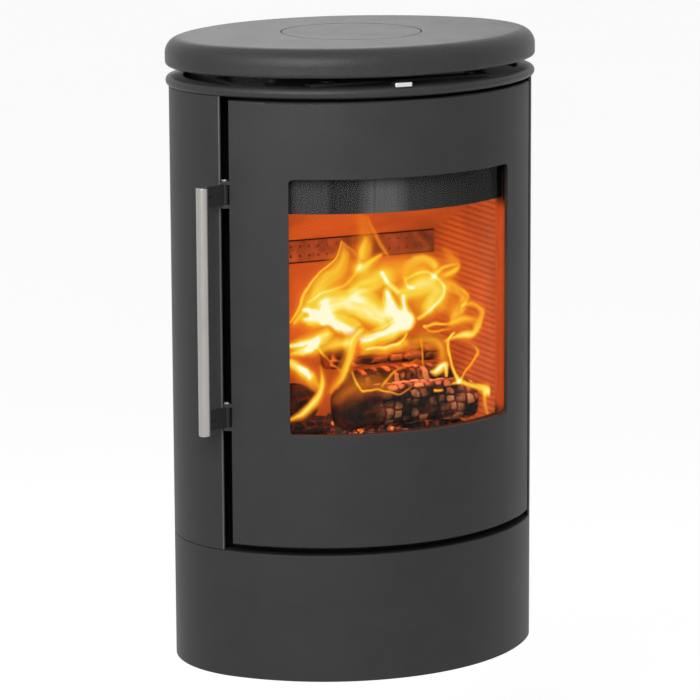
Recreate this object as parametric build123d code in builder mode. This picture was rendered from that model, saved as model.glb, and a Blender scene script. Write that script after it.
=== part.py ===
"""Wall-hung wood stove with an oval body, a curved glass door and a bar handle.

Millimetres, +Z up, the stove's front towards -Y. The origin is the centre of the wall bracket's
bolts, on the wall's face. Levels are worked out upwards from the stove's underside.
"""
import math
import os

from build123d import *

# Body: an oval of four arcs. The front and back arcs run on into the two side arcs.
half_width = 215.0
half_depth = 168.0
side_radius = 125.0
wall_gap = 26.0

# Heights, from the underside up
hang_height = 330.0
base_height = 146.5
door_bottom_gap = 8.5
door_height = 504.0
door_top_gap = 4.0
ledge_thickness = 11.5
top_gap = 11.0
top_plate_thickness = 32.0

# Base, floor and outer panels
base_wall = 4.0
tie_rod_x = 122.0
tie_rod_y = 103.0
tie_rod_radius = 4.0
tie_head_radius = 6.5
tie_head_height = 5.0
flange_width = 12.0
flange_thickness = 5.0
floor_thickness = 5.0
base_plate_thickness = 3.0
vent_slot_length = 60.0
vent_slot_width = 6.0
vent_slot_pitch = 14.0
vent_slot_count = 5
panel_wall = 3.0
panel_seam = 0.8
panel_door_gap = 11.0
edge_round = 1.0

# Air box under the floor
air_box_length = 180.0
air_box_depth = 140.0
air_box_height = 50.0
air_box_wall = 2.0
air_spigot_radius = 50.0
air_spigot_wall = 2.0

# Top frame and top plate
ledge_overhang = 3.5
ledge_round = 5.6
top_overhang = 4.0
top_round = 18.0
top_lower_round = 5.0
top_skirt_wall = 9.0
top_deck = 8.0
top_leg_radius = 8.0
top_leg_x = 128.0
top_leg_y = 66.0
disc_radius = 79.4
disc_recess = 6.0
disc_round = 0.6
disc_gap = 1.2
disc_seat = 7.0
disc_seat_thickness = 6.0
flue_radius = 75.0
flue_cover_thickness = 6.0
flue_cover_lap = 8.0
flue_cover_lip = 4.0
convection_rim = 16.0
convection_half_depth = 84.0

# Firebox
firebox_edge_gap = 21.25
firebox_depth_back = 92.0
firebox_wall = 4.0
firebox_corner = 12.0
front_thickness = 6.0
front_margin = 1.0
fire_opening_bottom = 270.0
fire_opening_top = 637.0
ash_opening_play = 8.0
ash_opening_bottom = 173.0
ash_opening_top = 223.0
shelf_height = 236.0
shelf_thickness = 4.0
shelf_opening_x = 190.0
shelf_opening_y = 120.0
grate_frame_thickness = 12.0
grate_length = 200.0
grate_depth = 130.0
grate_thickness = 8.0
grate_lip = 8.0
grate_bars = 9
grate_slot_width = 8.0

# Linings, baffle and tertiary air bar
lining_thickness = 22.0
lining_height = 330.0
back_lining_face = 68.0
back_lining_thickness = 20.0
lining_rib_pitch = 7.0
lining_rib_width = 3.0
lining_rib_depth = 1.2
lining_rib_count = 44
air_bar_bottom = 441.0
air_bar_height = 28.0
air_bar_recess = 3.0
air_bar_wall = 2.0
air_hole_radius = 1.5
air_hole_pitch = 11.5
air_hole_rows = 11.3
air_hole_count = 23
baffle_slope = 26.0
baffle_thickness = 20.0
baffle_length = 128.0
baffle_tongue = 6.0
baffle_play = 0.5

# Air wash: a curved guide under the top frame and a strip behind the top of the glass
guide_gap = 22.0
guide_wall = 3.0
guide_bottom = 600.0
guide_half_angle = 42.0
strip_gap = 2.2
strip_wall = 3.0
strip_bottom = 533.0

# Door
door_wall = 6.0
door_round = 2.5
window_margin = 4.5
window_bottom = 284.5
window_top = 573.5
window_corner = 5.0
tape_thickness = 1.5
tape_width = 10.0
tape_play = 0.1
glass_thickness = 4.0
glass_lap = 13.0
glass_corner = 10.0
glass_play = 1.5
frame_depth = 14.0
frame_edge_margin = 18.7
frame_end_gap = 1.5
frame_web = 4.0
frame_lap = 2.0
pocket_side_margin = 30.2
pocket_margin = 20.0
pocket_window_margin = 24.0
seal_gap = 2.7
rope_width = 10.8
rope_depth = 5.0
rope_end_margin = 2.6
rope_side_margin = 7.3
door_screw_radius = 2.5
door_screw_head = 4.5
door_screw_bite = 4.0
door_head_height = 3.0
door_screw_margin = 36.0

# Door hinge, at the right-hand edge
hinge_edge_margin = 4.25
hinge_inset = 14.2
hinge_eye = 7.0
hinge_pin_radius = 4.0
hinge_lug = 8.0
hinge_ear = 7.0
hinge_end = 14.0
hinge_web_half_angle = 1.4
hinge_web = 10.0
lug_root_inset = 4.7
edge_angle = 0.2
pin_proud = 1.0
washer_thickness = 1.5
running_clearance = 0.05
part_gap = 0.3

# Handle and latch, at the left-hand edge
handle_inset = 1.5
handle_reach = 34.0
handle_direction = 200.3
bar_radius = 7.0
bar_length = 280.5
bar_bottom = 284.5
bar_edge = 0.8
bracket_height = 22.0
bracket_end_margin = 0.5
bracket_bottom_margin = 5.5
strap_thickness = 5.0
barrel_radius = 4.2
handle_pin_radius = 2.0
handle_pin_head = 3.2
handle_pin_head_height = 1.5
handle_lug = 4.0
handle_lug_bite = 1.5
lug_half_web = 3.5
stud_radius = 2.5
stud_bury = 5.0
stud_lead = 8.0
finger_length = 18.0
finger_thickness = 4.0
finger_angle = 42.0
roller_radius = 3.0
roller_gap = 0.4
keeper_plate = 3.0
keeper_play = 1.5
keeper_width = 14.0

# Air shutter above the door
shutter_half = 110.0
shutter_depth = 18.0
shutter_thickness = 3.0
air_slot_y = 124.0
air_slot_length = 22.0
air_slot_width = 6.0
air_slot_pitch = 46.0
air_slot_count = 3
shutter_travel = 12.0
guide_x = 88.0
guide_play = 0.5
guide_screw_radius = 2.5
guide_head_radius = 5.0
guide_head_height = 2.5
lever_x = -14.8
lever_width = 14.0
lever_end = 164.0
tip_width = 21.0
tip_front = 170.5
tip_back = 157.5
tip_height = 5.0
tip_round = 2.0

# Ash pan
pan_half = 92.0
pan_front = 112.0
pan_back = 60.0
pan_height = 40.0
pan_wall = 2.0
pan_corner = 6.0
pan_rise = 3.0
runner_x = 70.0
runner_width = 10.0

# Rear flue spigot
flue_height = 572.0
flue_spigot_radius = 74.0
flue_spigot_wall = 3.0
flue_spigot_end_gap = 4.0
flue_flange_radius = 88.0
flue_flange_thickness = 4.0
flue_panel_play = 6.0
spigot_screw_circle = 81.0
spigot_screw_radius = 3.0
spigot_screw_turn = 45.0
spigot_screw_count = 4
spigot_screw_head = 5.0
spigot_head_height = 4.0

# Hanging parts
bracket_plate = 4.0
bracket_half_width = 120.0
bracket_half_height = 110.0
bolt_spacing_x = 200.0
bolt_spacing_z = 180.0
bolt_hole_radius = 4.5
hook_trough = 8.0
hook_rise = 22.0
hook_play = 2.0
rail_height = 46.0
rail_half = 110.0
arm_x = 100.0
arm_thickness = 8.0
arm_slot_play = 1.0
lock_screw_x = 60.0
lock_screw_back = 13.0
lock_screw_radius = 4.0
lock_head_radius = 6.5
lock_head_height = 5.0

# Fire
ember_depth = 10.0
ember_side_gap = 12.0
ember_width = 130.0
ember_y = -12.0
log_section = ((-0.5, 0.0), (0.5, 0.0), (0.42, 0.55), (0.1, 1.0), (-0.3, 0.85), (-0.5, 0.4))
front_log_gap = 6.0
front_log_y = -32.0
front_log_length = 166.0
front_log_width = 46.0
front_log_height = 50.0
front_log_turn = 4.0
middle_log_gap = 9.0
middle_log_y = 32.0
middle_log_length = 130.0
middle_log_width = 46.0
middle_log_height = 54.0
middle_log_turn = -8.0
back_log_gap = 4.0
back_log_length = 150.0
back_log_width = 34.0
back_log_height = 32.0

# Worked out from the above
front_radius = (((half_width - side_radius) ** 2 + half_depth ** 2 - side_radius ** 2)
                / (2 * (half_depth - side_radius)))
arc_offset = front_radius - half_depth
side_offset = half_width - side_radius
junction = math.degrees(math.atan2(side_offset, arc_offset))

centre_y = -(half_depth + wall_gap)
arc_y = centre_y + arc_offset
bottom_z = -hang_height
base_top_z = bottom_z + base_height
floor_z = base_top_z - floor_thickness
door_z = base_top_z + door_bottom_gap
door_top_z = door_z + door_height
ledge_z = door_top_z + door_top_gap
ledge_top_z = ledge_z + ledge_thickness
top_plate_z = ledge_top_z + top_gap
top_z = top_plate_z + top_plate_thickness

window_height = window_top - window_bottom
door_inner_radius = front_radius - door_wall
glass_outer = door_inner_radius - tape_thickness
glass_inner = glass_outer - glass_thickness
frame_back_radius = door_inner_radius - frame_depth
seat_radius = frame_back_radius - seal_gap
front_inner_radius = seat_radius - front_thickness
frame_z = door_z + frame_end_gap
frame_top_z = door_top_z - frame_end_gap
back_wall_inner = firebox_depth_back - firebox_wall
grate_frame_z = bottom_z + shelf_height + shelf_thickness
hearth_z = grate_frame_z + grate_frame_thickness
runner_z = base_top_z
pan_z = bottom_z + ash_opening_bottom + pan_rise
hinge_radius = front_radius - hinge_inset
lug_root_radius = front_radius - lug_root_inset
web_radius = door_inner_radius - frame_web
strip_radius = glass_inner - strip_gap
guide_radius = front_inner_radius - guide_gap

# The firebox stands inside the door's edges, and the window looks in between the linings.
firebox_half_width = front_radius * math.sin(math.radians(junction)) - firebox_edge_gap
back_plate_half = firebox_half_width - firebox_corner
lining_inner_half = firebox_half_width - firebox_wall - lining_thickness
fire_opening_half = lining_inner_half
ash_opening_half = pan_half + ash_opening_play
window_half = lining_inner_half - window_margin

# Angles that a length along an arc takes up
panel_edge_angle = junction + math.degrees(panel_door_gap / side_radius)
frame_half_angle = junction - math.degrees(frame_edge_margin / door_inner_radius)
rope_half_angle = frame_half_angle - math.degrees(rope_side_margin / frame_back_radius)
pocket_half_angle = frame_half_angle - math.degrees(pocket_side_margin / web_radius)
door_screw_angle = pocket_half_angle - math.degrees(door_screw_margin / web_radius)
hinge_angle = junction - math.degrees(hinge_edge_margin / hinge_radius)


def level(z):
    """The plan plane at height z, its origin on the oval's centre."""
    return Plane(origin=(0, centre_y, z))


def arc_level(z):
    """The plan plane at height z, its origin on the front arc's centre."""
    return Plane(origin=(0, arc_y, z))


def front_view(z):
    """A vertical plane through the oval's centre, seen from the front, X right and Z up."""
    return Plane(origin=(0, centre_y, z), x_dir=(1, 0, 0), z_dir=(0, -1, 0))


def rear_view(y, z=0.0):
    """A vertical plane facing the wall, y measured back from the oval's centre."""
    return Plane(origin=(0, centre_y + y, z), x_dir=(-1, 0, 0), z_dir=(0, 1, 0))


def arc_point(radius, angle):
    """A point in arc_level's plane, the angle counted from the front towards the right."""
    turn = math.radians(angle)
    return (radius * math.sin(turn), -radius * math.cos(turn))


def plan_point(radius, angle):
    """The same point, in level's plane."""
    x, y = arc_point(radius, angle)
    return (x, y + arc_offset)


def radial_plane(radius, angle, z):
    """A plane square to the door's arc, its Z axis pointing out of the stove."""
    x, y = arc_point(radius, angle)
    turn = math.radians(angle)
    return Plane(origin=(x, arc_y + y, z), x_dir=(math.cos(turn), math.sin(turn), 0),
                 z_dir=(math.sin(turn), -math.cos(turn), 0))


def oval(grow=0.0, mode=Mode.ADD):
    """The body's oval, grown outwards by a constant distance."""
    with BuildLine() as outline:
        CenterArc((0, arc_offset), front_radius + grow, 270 - junction, 2 * junction)
        CenterArc((side_offset, 0), side_radius + grow, 270 + junction, 180 - 2 * junction)
        CenterArc((0, -arc_offset), front_radius + grow, 90 - junction, 2 * junction)
        CenterArc((-side_offset, 0), side_radius + grow, 90 + junction, 180 - 2 * junction)
    make_face(outline.edges(), mode=mode)


def band(inner, outer, middle, half_angle, centre=(0, 0), mode=Mode.ADD):
    """A piece of a ring about centre, its middle at an angle from +X."""
    with BuildLine() as outline:
        near = CenterArc(centre, inner, middle - half_angle, 2 * half_angle)
        far = CenterArc(centre, outer, middle - half_angle, 2 * half_angle)
        Line(near @ 0, far @ 0)
        Line(near @ 1, far @ 1)
    make_face(outline.edges(), mode=mode)


def door_band(inner, outer, half_angle, z, height, mode=Mode.ADD):
    """A curved plate on the door's arc."""
    with BuildSketch(arc_level(z)) as plan:
        band(inner, outer, 270, half_angle)
    extrude(plan.sketch, amount=height, mode=mode)


def front_block(half, low, high, corner, mode=Mode.SUBTRACT):
    """A rounded rectangle seen from the front, from the oval's centre plane outwards."""
    with BuildSketch(front_view((low + high) / 2)) as view:
        RectangleRounded(2 * half, high - low, corner)
    extrude(view.sketch, amount=half_depth + wall_gap, mode=mode)


def convection_slots(z, height, rim):
    """The half-moon openings between the firebox and the side panels."""
    with BuildSketch(level(z)) as plan:
        oval(-rim)
        Rectangle(2 * half_width, 2 * convection_half_depth, mode=Mode.INTERSECT)
        Rectangle(2 * (firebox_half_width + flange_width / 2), 2 * half_depth, mode=Mode.SUBTRACT)
    extrude(plan.sketch, amount=height, mode=Mode.SUBTRACT)


def firebox_plan(inset=0.0, front_play=0.0, mode=Mode.ADD):
    """The firebox's outline drawn in by inset, its front on the front frame's inner face."""
    half = firebox_half_width - inset
    back = firebox_depth_back - inset
    corner = firebox_corner - inset
    front_arc = front_inner_radius - front_play
    spread = math.degrees(math.asin(half / front_arc))
    with BuildLine() as outline:
        front = CenterArc((0, arc_offset), front_arc, 270 - spread, 2 * spread)
        right = CenterArc((half - corner, back - corner), corner, 0, 90)
        left = CenterArc((corner - half, back - corner), corner, 90, 90)
        Line(front @ 1, right @ 0)
        Line(right @ 1, left @ 0)
        Line(left @ 1, front @ 0)
    make_face(outline.edges(), mode=mode)


def window_plate(inner, outer, grow, corner, low=0.0):
    """A curved plate the size of the window grown all round, its foot raised by low."""
    height = window_height + 2 * grow
    with BuildPart() as plate:
        door_band(inner, outer, frame_half_angle, bottom_z + window_bottom - grow + low, height - low)
        front_block(window_half + grow, bottom_z + window_bottom - grow, bottom_z + window_top + grow,
                    corner, mode=Mode.INTERSECT)
    return plate.part


def seal_ring():
    """The rope seal's loop round the door, from the front frame's face into the door's groove."""
    low = frame_z + rope_end_margin
    high = frame_top_z - rope_end_margin
    rope_angle = math.degrees(rope_width / frame_back_radius)
    groove_radius = frame_back_radius + rope_depth
    with BuildPart() as loop:
        door_band(seat_radius + part_gap, groove_radius, rope_half_angle, low, high - low)
        door_band(seat_radius, groove_radius + part_gap, rope_half_angle - rope_angle,
                  low + rope_width, high - low - 2 * rope_width, mode=Mode.SUBTRACT)
    return loop.part


def studs(places, plane, radius, start, end, head_radius=0.0, head_start=0.0, head_end=0.0):
    """Plain round studs at places of a plane, each with a head where head_radius is given."""
    for centre in places:
        with BuildSketch(plane.offset(start)) as shank:
            with Locations(centre):
                Circle(radius)
        extrude(shank.sketch, amount=end - start)
        if head_radius:
            with BuildSketch(plane.offset(head_start)) as head:
                with Locations(centre):
                    Circle(head_radius)
            extrude(head.sketch, amount=head_end - head_start)


def fire_log(gap, y, z, length, width, height, turn=0.0):
    """A split log lying at height z, turned in plan, its right end a gap off the lining."""
    spin = math.radians(turn)
    section = Plane(origin=(lining_inner_half - gap - length / 2, centre_y + y, z),
                    x_dir=(-math.sin(spin), math.cos(spin), 0),
                    z_dir=(math.cos(spin), math.sin(spin), 0))
    with BuildSketch(section) as end_grain:
        with BuildLine() as outline:
            Polyline([(across * width, up * height) for across, up in log_section], close=True)
        make_face(outline.edges())
    extrude(end_grain.sketch, amount=length / 2, both=True)


def save(part, name):
    """Label a finished piece and write its STEP file."""
    part.part.label = name
    export_step(part.part, f"parts/{name}.step")


os.makedirs("parts", exist_ok=True)

# Base shell: the oval skirt, with a flange inside its foot and one under the floor plate.
with BuildPart() as base_shell:
    with BuildSketch(level(bottom_z)):
        oval()
    extrude(amount=base_height)
    fillet(base_shell.edges().group_by(Axis.Z)[0], edge_round)
    fillet(base_shell.edges().group_by(Axis.Z)[-1], edge_round)
    with BuildSketch(level(bottom_z)):
        oval(-base_wall)
    extrude(amount=base_height, mode=Mode.SUBTRACT)
    for flange_z in (bottom_z + base_plate_thickness, floor_z - flange_thickness):
        with BuildSketch(level(flange_z)):
            oval(-base_wall)
            oval(-base_wall - flange_width, mode=Mode.SUBTRACT)
        extrude(amount=flange_thickness)
save(base_shell, "base_shell")

# Base plate: closes the skirt from below, with vent slots and the air spigot's hole.
with BuildPart() as base_plate:
    with BuildSketch(level(bottom_z)):
        oval(-base_wall - part_gap)
        Circle(air_spigot_radius, mode=Mode.SUBTRACT)
        with Locations((-half_width / 2 - flange_width, 0), (half_width / 2 + flange_width, 0)):
            with GridLocations(0, vent_slot_pitch, 1, vent_slot_count):
                SlotOverall(vent_slot_length, vent_slot_width, mode=Mode.SUBTRACT)
    extrude(amount=base_plate_thickness)
save(base_plate, "base_plate")

# Tie rods: clamp the top frame to the floor plate behind the firebox.
with BuildPart() as tie_rods:
    for side in (-1, 1):
        studs([(side * tie_rod_x, tie_rod_y)], level(0), tie_rod_radius, floor_z, ledge_top_z,
              tie_head_radius, ledge_top_z, ledge_top_z + tie_head_height)
        studs([(side * tie_rod_x, tie_rod_y)], level(0), tie_head_radius,
              floor_z - tie_head_height, floor_z)
save(tie_rods, "tie_rods")

# Floor plate: carries the firebox, and lets convection air up past its sides.
with BuildPart() as floor_plate:
    with BuildSketch(level(floor_z)):
        oval(-base_wall - part_gap)
        Circle(air_spigot_radius - air_spigot_wall, mode=Mode.SUBTRACT)
    extrude(amount=floor_thickness)
    convection_slots(floor_z, floor_thickness, convection_rim)
    add(tie_rods.part, mode=Mode.SUBTRACT)
save(floor_plate, "floor_plate")

# Air box: a tray against the floor plate's underside.
with BuildPart() as air_box:
    with BuildSketch(level(floor_z - air_box_height)):
        RectangleRounded(air_box_length, air_box_depth, flange_width)
    extrude(amount=air_box_height)
    with BuildSketch(level(floor_z)):
        RectangleRounded(air_box_length - 2 * air_box_wall, air_box_depth - 2 * air_box_wall,
                         flange_width - air_box_wall)
    extrude(amount=-(air_box_height - air_box_wall), mode=Mode.SUBTRACT)
    with BuildSketch(level(floor_z - air_box_height)):
        Circle(air_spigot_radius - air_spigot_wall)
    extrude(amount=air_box_wall, mode=Mode.SUBTRACT)
save(air_box, "air_box")

# Air spigot: the collar for an outside-air duct, open at the stove's underside.
with BuildPart() as air_spigot:
    with BuildSketch(level(bottom_z)):
        Circle(air_spigot_radius)
        Circle(air_spigot_radius - air_spigot_wall, mode=Mode.SUBTRACT)
    extrude(amount=base_height - floor_thickness - air_box_height)
save(air_spigot, "air_spigot")

# Pan runners: two rails on the floor plate.
with BuildPart() as pan_runners:
    with BuildSketch(level(runner_z)):
        with Locations((-runner_x, 0), (runner_x, 0)):
            Rectangle(runner_width, pan_front + pan_back)
    extrude(amount=pan_z - part_gap - runner_z)
save(pan_runners, "pan_runners")

# Hinge levels: shared by the ears, the pins, the washer and the door's lugs.
hinge_x, hinge_plan_y = plan_point(hinge_radius, hinge_angle)
lower_lug_z = door_z + hinge_end + hinge_ear + washer_thickness + part_gap
upper_lug_z = door_top_z - hinge_end - hinge_ear - part_gap - hinge_lug
lower_ear_z = door_z + hinge_end
upper_ear_z = upper_lug_z + hinge_lug + part_gap
front_half = firebox_half_width + front_margin
lower_pin_top = lower_lug_z + hinge_lug + pin_proud
upper_pin_low = upper_lug_z - pin_proud
hinge_place = [(hinge_x, hinge_plan_y)]

# Hinge pins: pressed into the ears, running in the door's lugs.
with BuildPart() as hinge_pins:
    studs(hinge_place, level(0), hinge_pin_radius, lower_ear_z, lower_pin_top)
    studs(hinge_place, level(0), hinge_pin_radius, upper_pin_low, upper_ear_z + hinge_ear)
save(hinge_pins, "hinge_pins")

# Hinge washer: carries the door on the lower ear.
with BuildPart() as hinge_washer:
    with BuildSketch(level(lower_ear_z + hinge_ear)):
        with Locations(*hinge_place):
            Circle(hinge_eye)
            Circle(hinge_pin_radius, mode=Mode.SUBTRACT)
    extrude(amount=washer_thickness)
save(hinge_washer, "hinge_washer")

# Firebox front: the curved cast frame that the door closes on, with its hinge ears.
with BuildPart() as firebox_front:
    with BuildSketch(arc_level(base_top_z)):
        band(front_inner_radius, seat_radius, 270, junction + hinge_web_half_angle)
        with Locations((0, -arc_offset)):
            Rectangle(2 * front_half, 2 * half_depth, mode=Mode.INTERSECT)
    extrude(amount=ledge_z - base_top_z)
    front_block(fire_opening_half, bottom_z + fire_opening_bottom, bottom_z + fire_opening_top,
                window_corner)
    front_block(ash_opening_half, bottom_z + ash_opening_bottom, bottom_z + ash_opening_top,
                window_corner)
    for ear_z in (lower_ear_z, upper_ear_z):
        with BuildSketch(level(ear_z)):
            with Locations((hinge_x, hinge_plan_y)):
                Circle(hinge_eye)
            with Locations(((front_half - hinge_eye + hinge_x) / 2, hinge_plan_y)):
                Rectangle(hinge_x - front_half + hinge_eye, hinge_web)
        extrude(amount=hinge_ear)
    add(hinge_pins.part, mode=Mode.SUBTRACT)
save(firebox_front, "firebox_front")

# Spigot screws: from inside the firebox, through the flue spigot's flange.
spigot_turns = [math.radians(spigot_screw_turn) + step * math.tau / spigot_screw_count
                for step in range(spigot_screw_count)]
spigot_places = [(spigot_screw_circle * math.cos(turn), spigot_screw_circle * math.sin(turn))
                 for turn in spigot_turns]
spigot_face = firebox_depth_back + flue_flange_thickness
with BuildPart() as spigot_screws:
    studs(spigot_places, rear_view(0, bottom_z + flue_height), spigot_screw_radius, back_wall_inner,
          spigot_face, spigot_screw_head, spigot_face, spigot_face + spigot_head_height)
save(spigot_screws, "spigot_screws")

# Firebox shell: the side walls with the rear corners, and the shelf under the fire.
with BuildPart() as firebox_shell:
    with BuildSketch(level(base_top_z)):
        firebox_plan()
        firebox_plan(firebox_wall, mode=Mode.SUBTRACT)
        with Locations((0, firebox_depth_back)):
            Rectangle(2 * back_plate_half, 2 * firebox_wall, mode=Mode.SUBTRACT)
    extrude(amount=ledge_z - base_top_z)
    with BuildSketch(level(bottom_z + shelf_height)):
        firebox_plan(firebox_wall)
        Rectangle(shelf_opening_x, shelf_opening_y, mode=Mode.SUBTRACT)
    extrude(amount=shelf_thickness)
save(firebox_shell, "firebox_shell")

# Firebox back: the flat plate between the shell's rear corners, with the flue's opening.
with BuildPart() as firebox_back:
    with BuildSketch(rear_view(back_wall_inner, (base_top_z + ledge_z) / 2)):
        Rectangle(2 * back_plate_half, ledge_z - base_top_z)
    extrude(amount=firebox_wall)
    with BuildSketch(rear_view(back_wall_inner, bottom_z + flue_height)):
        Circle(flue_spigot_radius - flue_spigot_wall)
    extrude(amount=firebox_wall, mode=Mode.SUBTRACT)
    add(spigot_screws.part, mode=Mode.SUBTRACT)
save(firebox_back, "firebox_back")

# Rear flue spigot: a collar with a flange against the firebox's back wall.
spigot_end = half_depth + wall_gap - flue_spigot_end_gap
with BuildPart() as flue_spigot:
    with BuildSketch(rear_view(firebox_depth_back, bottom_z + flue_height)):
        Circle(flue_flange_radius)
    extrude(amount=flue_flange_thickness)
    with BuildSketch(rear_view(firebox_depth_back, bottom_z + flue_height)):
        Circle(flue_spigot_radius)
    extrude(amount=spigot_end - firebox_depth_back)
    with BuildSketch(rear_view(firebox_depth_back, bottom_z + flue_height)):
        Circle(flue_spigot_radius - flue_spigot_wall)
    extrude(amount=spigot_end - firebox_depth_back, mode=Mode.SUBTRACT)
    add(spigot_screws.part, mode=Mode.SUBTRACT)
save(flue_spigot, "flue_spigot")

# Grate frame: the cast fire bottom, rebated for the grate.
with BuildPart() as grate_frame:
    with BuildSketch(level(grate_frame_z)):
        firebox_plan(firebox_wall + part_gap, part_gap)
        Rectangle(grate_length - 2 * grate_lip, grate_depth - 2 * grate_lip, mode=Mode.SUBTRACT)
    extrude(amount=grate_frame_thickness)
    with BuildSketch(level(hearth_z)):
        Rectangle(grate_length + 2 * part_gap, grate_depth + 2 * part_gap)
    extrude(amount=-grate_thickness, mode=Mode.SUBTRACT)
save(grate_frame, "grate_frame")

# Grate: lies in the frame's rebate, slotted from front to back.
grate_slot_pitch = (grate_length - 2 * grate_lip) / grate_bars
with BuildPart() as grate:
    with BuildSketch(level(hearth_z - grate_thickness)):
        Rectangle(grate_length, grate_depth)
        with GridLocations(grate_slot_pitch, 0, grate_bars, 1):
            SlotOverall(grate_depth - 4 * grate_lip, grate_slot_width, rotation=90,
                        mode=Mode.SUBTRACT)
    extrude(amount=grate_thickness)
save(grate, "grate")

# Baffle: a slab that rises towards the front, its edges held in grooves of the side linings.
baffle_run = baffle_length * math.cos(math.radians(baffle_slope))
baffle_rise = baffle_length * math.sin(math.radians(baffle_slope))
baffle_back_y = back_lining_face + air_bar_recess
baffle_back_z = bottom_z + air_bar_bottom + air_bar_height
baffle_stand = baffle_thickness / math.cos(math.radians(baffle_slope))


def baffle_slab(half, play=0.0, mode=Mode.ADD):
    """The sloping slab, thickened above and below and lengthened forwards by a play."""
    lift = play / math.cos(math.radians(baffle_slope))
    drop = play * math.tan(math.radians(baffle_slope))
    back_y = centre_y + baffle_back_y
    front_y = back_y - baffle_run - play
    front_z = baffle_back_z + baffle_rise + drop
    with BuildSketch(Plane.YZ) as profile:
        with BuildLine() as outline:
            Polyline((back_y, baffle_back_z - lift), (front_y, front_z - lift),
                     (front_y, front_z + baffle_stand + lift),
                     (back_y, baffle_back_z + baffle_stand + lift), close=True)
        make_face(outline.edges())
    extrude(profile.sketch, amount=half, both=True, mode=mode)


with BuildPart() as baffle:
    baffle_slab(lining_inner_half + baffle_tongue)
save(baffle, "baffle")

# Side linings: ribbed slabs on the grate frame, grooved for the baffle.
for side, name in ((-1, "lining_left"), (1, "lining_right")):
    with BuildPart() as lining:
        with BuildSketch(level(hearth_z)):
            firebox_plan(firebox_wall + part_gap, part_gap)
            with Locations((side * (half_width + lining_inner_half) / 2, 0)):
                Rectangle(half_width - lining_inner_half, 2 * half_depth, mode=Mode.INTERSECT)
        extrude(amount=lining_height)
        rib_low = hearth_z + lining_rib_pitch / 2
        rib_plane = Plane(origin=(side * lining_inner_half, centre_y, rib_low),
                          x_dir=(0, 1, 0), z_dir=(side, 0, 0))
        rise = (lining_rib_count - 1) * lining_rib_pitch / 2
        with BuildSketch(rib_plane):
            with Locations((0, side * rise)):
                with GridLocations(0, lining_rib_pitch, 1, lining_rib_count):
                    Rectangle(2 * half_width, lining_rib_width)
        extrude(amount=lining_rib_depth, mode=Mode.SUBTRACT)
        baffle_slab(lining_inner_half + baffle_tongue + baffle_play, baffle_play, mode=Mode.SUBTRACT)
    save(lining, name)

# Back lining: a plain slab between the side linings.
with BuildPart() as lining_back:
    with BuildSketch(level(hearth_z)):
        with Locations((0, back_lining_face + back_lining_thickness / 2)):
            Rectangle(2 * lining_inner_half - 2 * baffle_play, back_lining_thickness)
    extrude(amount=bottom_z + air_bar_bottom - hearth_z)
save(lining_back, "lining_back")

# Air bar: the perforated duct over the back lining, its top following the baffle.
bar_back_y = centre_y + back_wall_inner
bar_front_y = centre_y + baffle_back_y
bar_low_z = bottom_z + air_bar_bottom
bar_back_z = baffle_back_z - (bar_back_y - bar_front_y) * math.tan(math.radians(baffle_slope))
with BuildPart() as air_bar:
    with BuildSketch(Plane.YZ):
        with BuildLine():
            Polyline((bar_front_y, bar_low_z), (bar_front_y, baffle_back_z),
                     (bar_back_y, bar_back_z), (bar_back_y, bar_low_z), close=True)
        make_face()
        offset(amount=-air_bar_wall, mode=Mode.SUBTRACT)
    extrude(amount=lining_inner_half - baffle_play, both=True)
    with BuildSketch(front_view(bar_low_z + air_bar_height / 2)):
        with Locations((0, air_hole_rows / 2)):
            with GridLocations(air_hole_pitch, 0, air_hole_count, 1):
                Circle(air_hole_radius)
        with Locations((air_hole_pitch / 2, -air_hole_rows / 2)):
            with GridLocations(air_hole_pitch, 0, air_hole_count - 1, 1):
                Circle(air_hole_radius)
    extrude(amount=-(baffle_back_y + air_bar_wall), mode=Mode.SUBTRACT)
save(air_bar, "air_bar")

# Air guide: the curved plate under the top frame that turns the wash air down over the glass.
with BuildPart() as air_guide:
    door_band(guide_radius - guide_wall, guide_radius, guide_half_angle,
              bottom_z + guide_bottom, ledge_z - bottom_z - guide_bottom)
save(air_guide, "air_guide")

# Side panels: the sheet skins on the two side arcs.
panel_half_angle = (180 - junction - panel_edge_angle) / 2
panel_z = base_top_z + panel_seam
for side, name in ((-1, "side_panel_left"), (1, "side_panel_right")):
    middle = 90 - side * (junction + panel_half_angle)
    with BuildPart() as side_panel:
        with BuildSketch(level(panel_z)):
            band(side_radius - panel_wall, side_radius, middle, panel_half_angle,
                 centre=(side * side_offset, 0))
        extrude(amount=ledge_z - panel_z)
    save(side_panel, name)

# Back panel: the rear arc, with the flue's opening and slots for the hanger's arms.
arm_low_z = bracket_plate - bracket_half_height
arm_top_z = bracket_half_height + hook_rise + bracket_plate
with BuildPart() as back_panel:
    with BuildSketch(level(panel_z)):
        band(front_radius - panel_wall, front_radius, 90, junction, centre=(0, -arc_offset))
    extrude(amount=ledge_z - panel_z)
    with BuildSketch(rear_view(0, bottom_z + flue_height)):
        Circle(flue_spigot_radius + flue_panel_play)
    extrude(amount=half_depth + wall_gap, mode=Mode.SUBTRACT)
    with BuildSketch(rear_view(0)):
        with Locations((0, (arm_top_z + arm_low_z) / 2)):
            with GridLocations(2 * arm_x, 0, 2, 1):
                Rectangle(arm_thickness + 2 * arm_slot_play, arm_top_z - arm_low_z + 2 * arm_slot_play)
    extrude(amount=half_depth + wall_gap, mode=Mode.SUBTRACT)
save(back_panel, "back_panel")

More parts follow.
